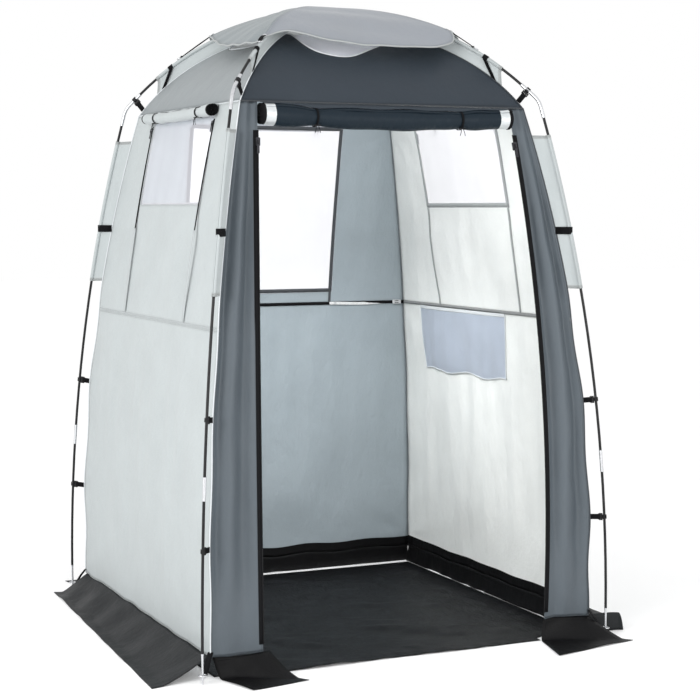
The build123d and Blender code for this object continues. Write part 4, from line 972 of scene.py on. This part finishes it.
def wall_strip(side_name, a_from, a_to, h_from, h_to, out):
    """Grid of points on a wall between two across positions and two heights."""
    heights = segments(h_from, h_to, step=STRIP_STEP)
    across = segments(a_from, a_to, step=min(STRIP_STEP, abs(a_to - a_from) / 2))
    across, height = np.meshgrid(across, heights)
    push = wall_push(side_name, across, height, corner_at(heights))
    return place(SIDES[side_name], wall_half(height) + push + out, across, height)


def window_binding(side_name, window_low):
    """Binding round a window, and down from it to the waist."""
    trims = Build()
    for a in (-WINDOW_HALF, WINDOW_HALF):
        low = window_low - BINDING_HALF
        trims.grid(wall_strip(side_name, a - BINDING_HALF, a + BINDING_HALF, low, WINDOW_TOP, -0.0036))
        trims.grid(wall_strip(side_name, a - 0.005, a + 0.005, WAIST_H + 0.004, window_low, -0.0036))
    for middle in (window_low, WINDOW_TOP):
        low = middle - BINDING_HALF
        trims.grid(wall_strip(side_name, -WINDOW_HALF, WINDOW_HALF, low, low + 2 * BINDING_HALF, -0.0042))
    colour = DARK_TRIM if side_name == "back" else TRIM
    made = trims.make(f"window_binding_{side_name}", [colour], "light_cloth")
    return solid(made, 0.0012, lined=False)


def window(side_name, window_low):
    """Clear film behind a wall's opening, with its binding."""
    reach, low, high = WINDOW_HALF + FILM_LAP, window_low - FILM_LAP, WINDOW_TOP + FILM_LAP
    points = wall_strip(side_name, -reach, reach, low, high, -CLOTH - 0.0012)
    rows, cols = points.shape[:2]
    cloth_at = np.stack(np.meshgrid(np.linspace(-reach, reach, cols), np.linspace(low, high, rows)), -1)
    pane = Build().grid(points, cloth_at).make(
        f"window_film_{side_name}", [FILM], "window_film", nodes=[f"{side_name}_window_sheet"]
    )
    window_binding(side_name, window_low)


for side_name, window_low in WINDOW_LOW.items():
    window(side_name, window_low)


# ---------------------------------------------------------------- seams and tapes
def corner_piping(corner, angle):
    """Piping down a corner of the cabin and along the roof's ridge above it."""
    h = segments(WALL_FOOT_H, EAVE_H, step=0.015)
    seam_path = np.stack([corner_at(h) * ROOT2 + 0.0006, h], 1)
    piping = Build().tube(in_plane(angle, seam_path), 0.0021, aim=sideways(angle))
    half = EAVE_HALF + (VENT_RIDGE - EAVE_HALF) * segments(0.0, 1.0, step=0.03)
    ridge_path = np.stack([half * ROOT2, dome(half, ROOF_TOP, ROOF_RADIUS) - 0.0006], 1)
    piping.tube(in_plane(angle, ridge_path), 0.0020, aim=sideways(angle))
    colour = PALE_TRIM if "left" in corner else DARK_TRIM
    piping.make(f"corner_piping_{corner}", [colour], "light_cloth")


def eave_seam(side_name, angle):
    """Corded seam at the eave, below a roof gore."""
    across = np.linspace(-EAVE_HALF, EAVE_HALF, 60)
    seam = Build().tube(place(angle, EAVE_HALF + 0.0004, across, EAVE_H), 0.0018, aim=UP)
    colour = DARK_TRIM if side_name in ("front", "back") else PALE_TRIM
    seam.make(f"eave_seam_{side_name}", [colour], "light_cloth")


def waist_tape(side_name):
    """Tape on the inside of a wall, over the seam between its two panels."""
    end = float(wall_half(WAIST_H)) - 0.004
    tape = Build().grid(wall_strip(side_name, -end, end, WAIST_H - 0.006, WAIST_H + 0.006, -0.0030))
    colour = TAPE if side_name == "back" else GREY_TAPE
    solid(tape.make(f"waist_tape_{side_name}", [colour], "black_webbing"), 0.0012, lined=False)


for corner, angle in CORNERS.items():
    corner_piping(corner, angle)
for side_name, angle in SIDES.items():
    eave_seam(side_name, angle)
for side_name in WINDOW_LOW:
    waist_tape(side_name)


# ---------------------------------------------------------------- rolled-up covers
END_TAPE, END_LINING = 0.012, 0.046  # how far in from a roll's ends its tape and its lining show
DOOR_LENGTH, COVER_LENGTH = 1.70, 0.62  # of cloth that is rolled up
HEAD_SEAM_H = 1.8415  # where a window's cover is sewn to its wall
BAND_WIDTH, BAND_THICK = 0.0075, 0.0014


def roll_squeeze(side_name, a, phi):
    """How the roll's outline changes along it: pinched at its ties, lumpy between them."""
    radius, _, _, tie_at = ROLLS[side_name]
    seed = 61 + ORDER[side_name]
    pinch = sum(np.exp(-(((a - at) / (1.1 * radius)) ** 2)) for at in (-tie_at, tie_at))
    lumps = 0.045 * waves(a, 0 * a, 0.21, seed, 5)
    furrow = 0.030 * waves(a * 3, phi * 0.02, 0.35, seed + 9, 5)
    return 1 - 0.17 * pinch + (lumps + furrow) * (1 - pinch * 0.6) - 0.03


def roll_middle(side_name, a):
    """Distance out and height of the roll's middle, which hangs a little between its ties."""
    radius, _, height, tie_at = ROLLS[side_name]
    out = 0.0 if side_name == "front" else radius + 0.003
    sag = 0.10 * radius * (1 - (a / tie_at) ** 2)
    return float(wall_half(height)) + out, height - sag


def cover_roll(side_name, length, name, node, materials, slot):
    """The whole cover as one sheet, rolled up in a spiral."""
    radius, half, _, _ = ROLLS[side_name]
    core = 0.16 * radius
    turns = length / (pi * (radius + core))
    phi = np.linspace(0, 2 * pi * turns, int(turns * 30))
    ends = segments(-half, -half + END_TAPE, -half + END_LINING, 0, half - END_LINING, half - END_TAPE, half)
    a, p = np.meshgrid(ends, phi)
    base = (core + (radius - core) * p / phi[-1]) * roll_squeeze(side_name, a, p)
    flare = 1 + 0.05 * smooth(half - 0.05, half, np.abs(a))
    reach, height = roll_middle(side_name, a)
    turn = p - phi[-1] + (2.4 if side_name == "front" else 1.2)
    points = place(SIDES[side_name], reach - base * flare * np.cos(turn), a, height + base * np.sin(turn))
    from_middle = np.abs(middles(ends))
    index = np.where(from_middle > half - END_LINING, 2, 0)
    index = np.where(from_middle > half - END_TAPE, 4, index)
    cloth_at = np.stack([a, p * radius * 0.6], -1)
    seam = np.stack([half - np.abs(a), np.full(a.shape, 1.0)], -1)
    made = Build().grid(points[:, ::-1], cloth_at[:, ::-1], seam[:, ::-1], index[::-1]).make(
        name, materials, slot, nodes=[node]
    )
    solid(made, 0.0008)


def cover_head(side_name, material, slot):
    """Top strip of a cover, from its seam at the eave down over the back of its roll."""
    radius, half, _, _ = ROLLS[side_name]
    end = half - 0.004
    a, u = np.meshgrid(segments(-end, end), np.linspace(0, 1, 12))
    start_r, start_h, turn, bulge = float(wall_half(HEAD_SEAM_H)) + 0.0020, HEAD_SEAM_H, radians(100), 0.003
    if side_name == "front":
        start_r, start_h, turn, bulge = EAVE_HALF + 0.0014, EAVE_H - 0.002, radians(62), 0.010
    reach, height = roll_middle(side_name, a)
    r = radius * roll_squeeze(side_name, a, 0 * a) + 0.0016
    end_r, end_h = reach + r * cos(turn), height + r * sin(turn)
    out = start_r + (end_r - start_r) * u + bulge * np.sin(pi * u)
    points = place(SIDES[side_name], out, a, start_h + (end_h - start_h) * u)
    cloth_at, seam = np.stack([a, 0.05 * u], -1), np.stack([end - np.abs(a), 0.05 * u], -1)
    made = Build().grid(points[::-1], cloth_at[::-1], seam[::-1]).make(
        f"cover_head_{side_name}", [material, material], slot
    )
    solid(made, 0.0008)


def roll_tie(ties, side_name, at):
    """Flat band round a roll, with a toggle below it and the two tails of its cord."""
    angle, radius = SIDES[side_name], ROLLS[side_name][0]
    reach, height = roll_middle(side_name, at)
    r = radius * float(roll_squeeze(side_name, np.array(at), np.array(0.0))) + 0.0020
    phi = np.linspace(0, 2 * pi, 41)[:-1]
    band = []
    for dw, dr in ((-0.5, -0.5), (0.5, -0.5), (0.5, 0.5), (-0.5, 0.5)):
        far = r + dr * BAND_THICK
        edge = place(angle, reach + far * np.cos(phi), at + dw * BAND_WIDTH, height + far * np.sin(phi))
        band.append(edge)
    band = np.stack(band, 1)
    ties.grid(np.concatenate([band, band[:1]]), closed=True)
    far = r + 0.0052
    toggle_r, toggle_h = reach + far * cos(TOGGLE_ANGLE), height - far * sin(TOGGLE_ANGLE)
    along = np.linspace(-1, 1, 25)
    barrel = 0.0030 * np.sqrt(np.clip(1 - np.abs(along) ** 8, 0.05, 1)) * (0.82 + 0.18 * along**2)
    ties.tube(place(angle, toggle_r, at + 0.013 * along, toggle_h), barrel, 1, 12)
    tail = np.linspace(0, 1, 12)
    tail_r, tail_h = toggle_r + 0.004 * np.sin(2.4 * tail), toggle_h - 0.024 * tail
    for lean in (-1, 1):
        path = place(angle, tail_r, at + lean * (0.003 + 0.007 * tail), tail_h)
        ties.tube(path, 0.0011, 0, 6, aim=sideways(angle))


cover_roll("front", DOOR_LENGTH, "rolled_door", "door_roll",
           [NAVY, SILVER, SILVER, SILVER, TAPE, TAPE], "dark_cloth")
for side_name in WINDOW_LOW:
    outer, _, slot = cloth_of(side_name)
    cover_roll(side_name, COVER_LENGTH, f"rolled_cover_{side_name}", f"{side_name}_cover_roll",
               [outer, LIGHT_INSIDE, outer, LIGHT_INSIDE, TAPE, TAPE], slot)
# the door's top strip takes the darker roof copy of the dark cloth: painted shade
cover_head("front", DARK_ROOF_PAINTED_SHADE, "dark_cloth")
for side_name in WINDOW_LOW:
    outer, _, slot = cloth_of(side_name)
    cover_head(side_name, outer, slot)
for side_name in SIDES:
    ties, tie_at = Build(), ROLLS[side_name][3]
    for at in (-tie_at, tie_at):
        roll_tie(ties, side_name, at)
    ties.make(f"roll_loops_{side_name}", [WEB, BLACK_PLASTIC], "black_plastic", nodes=["roll_ties"])


# ---------------------------------------------------------------- zips
TOOTH_PITCH, TOOTH_WIDTH, TOOTH_DEPTH = 0.0026, 0.0034, 0.0011
TOOTH_PROFILE = [(-1, 0), (-0.7, 0.7), (0.7, 1), (1, 0)]  # place across a tooth and share of its depth
ZIP_SHOWN_LOW = {"left": 1.425, "right": 1.425, "back": WINDOW_ZIP_H[0]}


def teeth(build, side_name, line, out):
    """A zip's coil: one small block for each turn, along a line (across, height)."""
    run = np.concatenate([[0], np.cumsum(np.hypot(*np.diff(line, axis=0).T))])
    stops = np.arange(0, run[-1], TOOTH_PITCH)
    a, h = np.interp(stops, run, line[:, 0]), np.interp(stops, run, line[:, 1])
    ends = []
    for end in (-1, 1):
        ends.append(np.stack([
            place(SIDES[side_name], wall_half(h) + out + TOOTH_DEPTH * deep, a + TOOTH_WIDTH / 2 * across,
                  h + end * TOOTH_PITCH * 0.34)
            for across, deep in TOOTH_PROFILE
        ], 1))
    for block in np.stack(ends, 1):
        build.grid(block[:, ::-1], np.zeros((2, 5, 2)), np.ones((2, 5, 2)), 1, closed=True, caps=True)


def strip_along(side_name, line, inner, outer, out):
    """Narrow strip beside a line (across, height), between two offsets from it."""
    low, high = sorted((inner, outer))
    reach, height = wall_half(line[:, 1]) + out, line[:, 1]
    edges = [line[:, 0] + offset for offset in (low, (low + high) / 2, high)]
    return np.stack([place(SIDES[side_name], reach, across, height) for across in edges], 1)


def upright(across, low, high):
    """Line (across, height) between two heights, at an across position or a function of height."""
    h = segments(low, high, step=0.02)
    return np.stack([across(h) if callable(across) else np.full_like(h, across), h], 1)


def door_zips():
    """Tapes on both faces of the doorway's edges, and the coil."""
    zips = Build()
    for side in (-1, 1):
        line = upright(lambda h: side * door_half(h), *DOOR_ZIP_H)
        for out in (0.0008, -0.0034):
            zips.grid(strip_along("front", line, side * -0.001, side * 0.014, out))
        teeth(zips, "front", line - [side * 0.0019, 0], 0.0004)
    made = zips.make("door_zip_tapes", [TAPE, COIL], "black_zip", nodes=["door_zips"])
    solid(made, 0.0007, lined=False)


def window_zips(side_name):
    """Zips beside a window; the side walls have a flap over their lower part."""
    zips, flaps = Build(), Build()
    low, (zip_low, zip_high) = ZIP_SHOWN_LOW[side_name], WINDOW_ZIP_H
    for across in (-ZIP_OUT, ZIP_OUT):
        line = upright(across, low, zip_high)
        zips.grid(strip_along(side_name, line, -0.005, 0.005, 0.0010))
        teeth(zips, side_name, line, 0.0014)
        if low > zip_low:
            flaps.grid(strip_along(side_name, upright(across, zip_low, low), -0.008, 0.008, 0.0012))
    made = zips.make(f"window_zip_{side_name}", [TAPE, COIL], "black_zip", nodes=["window_zips"])
    solid(made, 0.0007, lined=False)
    if flaps.count:
        solid(flaps.make(f"zip_flap_{side_name}", [LIGHT], "light_cloth"), 0.0008, lined=False)


door_zips()
for side_name in WINDOW_LOW:
    window_zips(side_name)


# ---------------------------------------------------------------- skirts
CURL_LENGTH, CURL_FOLD, CURL_REACH = 0.14, 0.066, 0.132  # the right skirt's stiff front end
LYING = 0.0012  # height of cloth that lies on the ground
LONG_SEAM, LONG_EDGE = (-SKIRT_HALF, SKIRT_HALF), (-0.735, 0.735)


def stiff_end(arc, u, top, reach, height):
    """The right skirt's front end stands out, turns down at its edge and closes at the corner."""
    stiff = smooth(CURL_FOLD + CURL_LENGTH, CURL_FOLD, arc)
    out = top + CURL_REACH * np.clip(u / 0.55, 0, 1) + 0.012 * np.clip((u - 0.55) / 0.45, 0, 1)
    over = 0.002 + 0.064 * np.cos(pi / 2 * np.clip((u - 0.42) / 0.56, 0, 1)) ** 0.6
    reach = reach + (out - reach) * stiff
    height = height + (over - height) * stiff
    return reach, LYING + (height - LYING) * np.clip(arc / CURL_FOLD, 0, 1)


def skirt(name, seam_at, edge_at, reach_at, material=SKIRT_PAINTED_LIGHT, steep=(0, 0), toe=0.0):
    """Flap that slopes from a wall's bottom seam out to the ground, or first drops to it.

    seam_at and edge_at are the flap's two ends at its seam and at its outer edge, and reach_at
    is how far out that edge lies at each end. steep is the share of the drop at each end, and
    toe is how far out of the seam its foot stands.
    """
    side_name = name.split("_")[0]
    width = seam_at[1] - seam_at[0]
    folds = (STEEP_SLOPE / STEEP_WIDTH, SKIRT_SLOPE / SKIRT_WIDTH)
    s, u = np.meshgrid(segments(0.0, 1.0, step=0.012 / width), segments(0.0, *folds, 1.0, step=0.04))
    drop = steep[0] + (steep[1] - steep[0]) * smooth(0, 1, s)
    cloth_w = SKIRT_WIDTH + (STEEP_WIDTH - SKIRT_WIDTH) * drop
    slope_p = SKIRT_SLOPE + (STEEP_SLOPE - SKIRT_SLOPE) * drop
    p = u * cloth_w
    top = float(wall_half(WALL_FOOT_H))
    seam_a = seam_at[0] + width * s
    edge_a = edge_at[0] + (edge_at[1] - edge_at[0]) * s
    a = seam_a + (edge_a - seam_a) * u
    far = reach_at[0] + (reach_at[1] - reach_at[0]) * s
    seed = 31 + ORDER[side_name] + int(seam_at[0] > 0)
    sway = toe + 0.010 * np.clip(waves(a, 0 * a, 0.22, seed + 5, 4), 0, 1)
    dropped = top + sway * np.clip(p / slope_p, 0, 1) ** 2
    dropped = dropped + (far - top - sway) * np.clip((p - slope_p) / (cloth_w - slope_p), 0, 1)
    reach = top + (far - top) * u
    reach = reach + (dropped - reach) * drop
    reach = np.minimum(reach + 0.0018 * waves(a, 0 * a, 0.40, seed + 3, 4) * u, SKIRT_OUT + 0.004)
    slope = np.clip(1 - p / slope_p, 0, 1) ** 1.15
    height = (WALL_FOOT_H + foot_wave(side_name, a, 0 * a + WALL_FOOT_H) - 0.001) * slope + LYING
    billow = (0.006 - 0.004 * drop) * waves(a, p * 0.5, 0.30, seed) * np.sin(pi * u)
    ripple = np.clip(waves(a, p * 0.4, 0.26, seed + 2), 0, None)
    height = height + np.maximum(billow, LYING - height) + 0.0030 * ripple * smooth(0.25, 0.9, u)
    if side_name == "right":
        reach, height = stiff_end(s * width, u, top, reach, height)
        a = np.maximum(a, -SKIRT_HALF - 0.002 - 0.02 * u)
    seam = np.stack([np.minimum(s, 1 - s) * width, np.minimum(p, cloth_w - p)], -1)
    points, cloth_at = place(SIDES[side_name], reach, a, height), np.stack([a, p], -1)
    made = Build().grid(points[::-1], cloth_at[::-1], seam[::-1]).make(
        f"skirt_flap_{name}", [material, BLACK_BAND], "skirt_cloth", nodes=[f"skirt_{name}"]
    )
    solid(made, 0.0011)


skirt("left", LONG_SEAM, LONG_EDGE, (0.830, 0.912))
skirt("back", (-0.704, SKIRT_HALF), (-0.715, 0.735), (0.920, 0.915), steep=(1, 1), toe=0.012)
skirt("right", (-SKIRT_HALF - CURL_FOLD, 0.704), (-0.790, 0.715), (0.925, 0.915), steep=(1, 1), toe=-0.011)
# the front flaps take the darker copy of the skirt cloth: painted shade
skirt("front_left", (-0.700, -0.505), (-0.632, -0.425), (0.885, 0.850), SKIRT_PAINTED_SHADE, (1, 0), 0.012)
skirt("front_right", (0.524, 0.695), (0.455, 0.800), (0.925, 0.850), SKIRT_PAINTED_SHADE, (1, 0), 0.020)


# ---------------------------------------------------------------- floor
LEFT_DRAWN_IN, RIGHT_DRAWN_IN, CORNER_DRAWN_IN = 0.009, 0.007, 0.022  # shown edges, clear of the walls


def floor():
    """Groundsheet with a tongue in the doorway, lying a little rumpled."""
    x = segments(-FLOOR_HALF, -TONGUE_HALF, TONGUE_HALF, FLOOR_HALF, step=0.014)
    y = segments(-TONGUE_FRONT, -FLOOR_FRONT, FLOOR_BACK, step=0.014)
    fx, fy = np.meshgrid(x, y)
    rumple = np.clip(waves(fx, fy * 0.6, 0.34, 101) + 0.5 * waves(fx, fy, 0.13, 102), 0, None)
    ridges = np.exp(-((np.mod(fx + 0.12 * np.sin(3 * fy), 0.37) - 0.185) / 0.02) ** 2)
    lift = 0.0045 * rumple + 0.0025 * ridges * smooth(-0.3, 0.3, waves(fx, fy, 0.5, 103))
    lift = 0.0014 + lift * smooth(0, 0.05, np.minimum(FLOOR_HALF - np.abs(fx), FLOOR_BACK - fy))
    front_wave = 0.006 * waves(fx, 0 * fx, 0.5, 104, 4) * smooth(-0.60, -TONGUE_FRONT, fy)
    shown_x = fx + LEFT_DRAWN_IN * smooth(-0.3, -FLOOR_HALF, fx)
    shown_x = shown_x - RIGHT_DRAWN_IN * smooth(0.3, FLOOR_HALF, fx)
    shown_y = fy + front_wave - 0.006 * (1 + np.sin(3.1 * fx)) * smooth(0.5, FLOOR_BACK, fy)
    shown_y = shown_y + CORNER_DRAWN_IN * smooth(0.50, 0.56, fx) * smooth(-0.62, -FLOOR_FRONT, fy)
    beside_tongue = (middles(y) < -FLOOR_FRONT)[:, None] & (np.abs(middles(x)) > TONGUE_HALF)
    seam = np.stack([FLOOR_HALF - np.abs(fx), np.minimum(FLOOR_BACK - fy, fy + TONGUE_FRONT)], -1)
    made = Build().grid(
        np.stack([shown_x, shown_y, lift], -1), np.stack([fx, fy], -1), seam, keep=~beside_tongue
    ).make("floor_cloth", [FLOOR_CLOTH, BLACK_BAND], "floor_cloth", "floor", ["floor_sheet"])
    solid(made, 0.0010)


floor()


# ---------------------------------------------------------------- inside
POCKET_Y, POCKET_HALF, POCKET_LOW, POCKET_TOP = 0.145, 0.345, 0.850, 1.098
STRAP_Y = float(wall_half(WAIST_H)) - 0.0065
STRAP_START, STRAP_LENGTH, STRAP_WIDTH = 0.316, 0.286, 0.0115
BUCKLE_Y = STRAP_Y - 0.006  # clear of the rounded corner


def pocket():
    """Mesh pocket on the right wall: a bellied front sheet, taped at its mouth."""
    y_at = segments(POCKET_Y - POCKET_HALF, POCKET_Y + POCKET_HALF)
    h_at = segments(POCKET_LOW, POCKET_TOP, step=0.010)
    yy, hh = np.meshgrid(y_at, h_at)
    s, v = (yy - POCKET_Y) / POCKET_HALF, (hh - (POCKET_LOW + POCKET_TOP) / 2) / 0.124
    belly = 0.014 * np.clip(1 - np.abs(s) ** 6, 0, 1) * np.clip(1 - np.clip(-v, 0, 1) ** 4, 0, 1)
    belly = belly * (0.55 + 0.45 * smooth(-1, 0.4, v)) + 0.0010
    pucker = 0.0016 * (1 + waves(yy, hh * 0.5, 0.11, 111)) * smooth(0, 0.1, 1 - np.abs(s))
    height = hh + 0.005 * waves(yy, 0 * yy, 0.4, 112, 4) * smooth(0.6, -1.0, v)
    shown_y = POCKET_Y + (yy - POCKET_Y) * (1 - 0.04 * smooth(0.4, -1, v) * np.abs(s))
    wall_x = wall_half(height) + wall_push("right", shown_y, height, corner_at(h_at))
    points = np.stack([wall_x - 0.0030 - belly - np.maximum(pucker, 0), shown_y, height], -1)
    to_side, to_end = POCKET_HALF - np.abs(yy - POCKET_Y), np.minimum(POCKET_TOP - hh, hh - POCKET_LOW)
    cloth_at, seam = np.stack([yy, hh], -1), np.stack([to_side, to_end], -1)
    made = Build().grid(points[:, ::-1], cloth_at[:, ::-1], seam[:, ::-1]).make(
        "pocket_front", [POCKET_NET], "pocket_mesh", nodes=["mesh_pocket"]
    )
    rim = np.concatenate([points[::-1, 0], points[0, 1:], points[1:, -1]])
    hem = Build().tube(rim, 0.0020, aim=(1, 0.1, 0.1))
    hem.strap(points[-1], UP, 0.013, 0.0016)
    binding = hem.make("pocket_binding", [PALE_TRIM], "light_cloth")


def waist_strap():
    """Strap along the waist seam of the back wall, with its end folded back."""
    x = np.linspace(STRAP_START, STRAP_START + STRAP_LENGTH, 40)
    y = np.full_like(x, STRAP_Y) - 0.0008 * np.sin(40 * x)
    sag = 0.004 * np.sin(pi * (x - STRAP_START) / STRAP_LENGTH) ** 2
    strap = Build().strap(np.stack([x, y, WAIST_H - sag], 1), UP, STRAP_WIDTH, 0.0015)
    fold = [(STRAP_START, STRAP_Y - 0.0016, WAIST_H), (0.345, STRAP_Y - 0.0016, WAIST_H - 0.0005)]
    strap.strap(fold, UP, STRAP_WIDTH, 0.0013)
    strap.make("waist_strap", [WHITE_WEB], "white_webbing", nodes=["hanging_strap"])


def rounded_block(build, x, half_y, z, bevel):
    """Block on the strap's line with rounded edges: its ends in x, half depth, ends in z and bevel."""
    low = np.array([x[0], BUCKLE_Y - half_y, WAIST_H + z[0]])
    high = np.array([x[1], BUCKLE_Y + half_y, WAIST_H + z[1]])
    middle, half = (low + high) / 2, (high - low) / 2
    lat, lon = np.linspace(-pi / 2, pi / 2, 13)[1:-1], np.linspace(0, 2 * pi, 33)[:-1]
    lat, lon = np.meshgrid(lat, lon, indexing="ij")
    ball = np.stack([np.cos(lat) * np.cos(lon), np.cos(lat) * np.sin(lon), np.sin(lat)], -1)
    points = middle + np.sign(ball) * np.maximum(half - bevel, 0) + ball * bevel
    build.grid(points, closed=True, caps=True)


def strap_buckle():
    """Plastic buckle at the strap's end: two bars, two rails, a tongue, and the webbing behind it."""
    buckle = Build()
    for ends in ((0.601, 0.611), (0.629, 0.639)):
        rounded_block(buckle, ends, 0.003, (-0.0085, 0.0085), 0.0024)
    for z in (-0.0070, 0.0070):
        rounded_block(buckle, (0.606, 0.634), 0.0026, (z - 0.0016, z + 0.0016), 0.0015)
    rounded_block(buckle, (0.612, 0.630), 0.0022, (-0.0030, 0.0030), 0.0018)
    buckle.strap([(x, BUCKLE_Y, WAIST_H) for x in (0.637, 0.650, 0.664)], UP, 0.0125, 0.0016, 1)
    buckle.make("strap_buckle", [PALE_PLASTIC, WEB], "white_webbing")


pocket()
waist_strap()
strap_buckle()


# ---------------------------------------------------------------- hardware kept from the CAD
KEPT = {
    "pole_elbows": STEEL, "pole_ferrules": STEEL, "foot_pins": STEEL, "steel_rings": STEEL,
    "shock_cords": ELASTIC, "pole_clips": BLACK_PLASTIC,
}
for corner in CORNERS:
    KEPT[f"leg_pole_{corner}"] = POLE
    KEPT[f"roof_pole_{corner}"] = POLE
for side in ("left", "right"):
    KEPT[f"door_slider_{side}"] = ZIP_METAL
    KEPT[f"door_pull_{side}"] = ZIP_METAL
for side_name in WINDOW_LOW:
    for end in "ab":
        KEPT[f"{side_name}_window_slider_{end}"] = ZIP_METAL
for node_name, material in KEPT.items():
    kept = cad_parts[node_name]
    kept.data.materials.clear()
    kept.data.materials.append(material)


# ---------------------------------------------------------------- studio
def in_scene(made, at):
    """Link an object to the scene at a place."""
    made.location = at
    bpy.context.scene.collection.objects.link(made)
    return made


def lamp(name, kind, at, aim, power):
    """A light of this kind that looks from one point at another."""
    data = bpy.data.lights.new(name, kind)
    data.energy = power
    holder = in_scene(bpy.data.objects.new(name, data), at)
    holder.rotation_euler = (Vector(aim) - Vector(at)).to_track_quat("-Z", "Y").to_euler()
    return data


def softbox(name, at, aim, size, power):
    """A rectangular area light."""
    data = lamp(name, "AREA", at, aim, power)
    data.shape = "RECTANGLE"
    data.size, data.size_y = size


STAGE_HALF = 30
ground = [(-STAGE_HALF, -STAGE_HALF, 0), (STAGE_HALF, -STAGE_HALF, 0),
          (STAGE_HALF, STAGE_HALF, 0), (-STAGE_HALF, STAGE_HALF, 0)]
stage_mesh = bpy.data.meshes.new("studio_floor")
stage_mesh.from_pydata(ground, [], [(0, 1, 2, 3)])
studio = Shader("studio_floor", (0.90, 0.90, 0.90), 0.8, Emission_Strength=0.09)
studio.bsdf.inputs["Emission Color"].default_value = (1.0, 1.0, 1.0, 1)
speckle = studio.remap(studio.noise(studio.coords(), 3.0, 3.0), 0.3, 0.7, 0.99, 1.01)
stage_mesh.materials.append(studio.end(studio.tinted((0.92, 0.92, 0.92), speckle)))
in_scene(bpy.data.objects.new("studio_floor", stage_mesh), (0, 0, -0.0008))

world = bpy.data.worlds.new("studio")
world.use_nodes = True
world.node_tree.nodes["Background"].inputs["Color"].default_value = (1.0, 1.0, 1.0, 1)
world.node_tree.nodes["Background"].inputs["Strength"].default_value = 1.0
bpy.context.scene.world = world

softbox("key", (-5.0, -2.6, 2.6), (0, 0, 1.0), (2.6, 2.6), 150)
softbox("fill", (1.2, -5.2, 2.0), (0.2, 0.2, 0.9), (2.6, 2.2), 70)
softbox("inside", (-0.10, -0.25, 1.96), (0.40, 0.45, 0.9), (0.5, 0.5), 5)
low_lamp = lamp("inside_low", "SPOT", (-0.38, -0.42, 1.90), (0.5, 0.42, 0.30), 135)
low_lamp.spot_size, low_lamp.spot_blend, low_lamp.shadow_soft_size = radians(66), 0.9, 0.18

camera_data = bpy.data.cameras.new("camera")
camera_data.lens, camera_data.sensor_width = 88.87, 36.0
camera = in_scene(bpy.data.objects.new("camera", camera_data), (-2.5676, -5.8019, 1.4962))
camera.rotation_euler = (radians(90 - 4.678), 0.0, radians(-24.754))
bpy.context.scene.camera = camera
bpy.context.scene.view_settings.view_transform = "Standard"

bpy.context.view_layer.update()
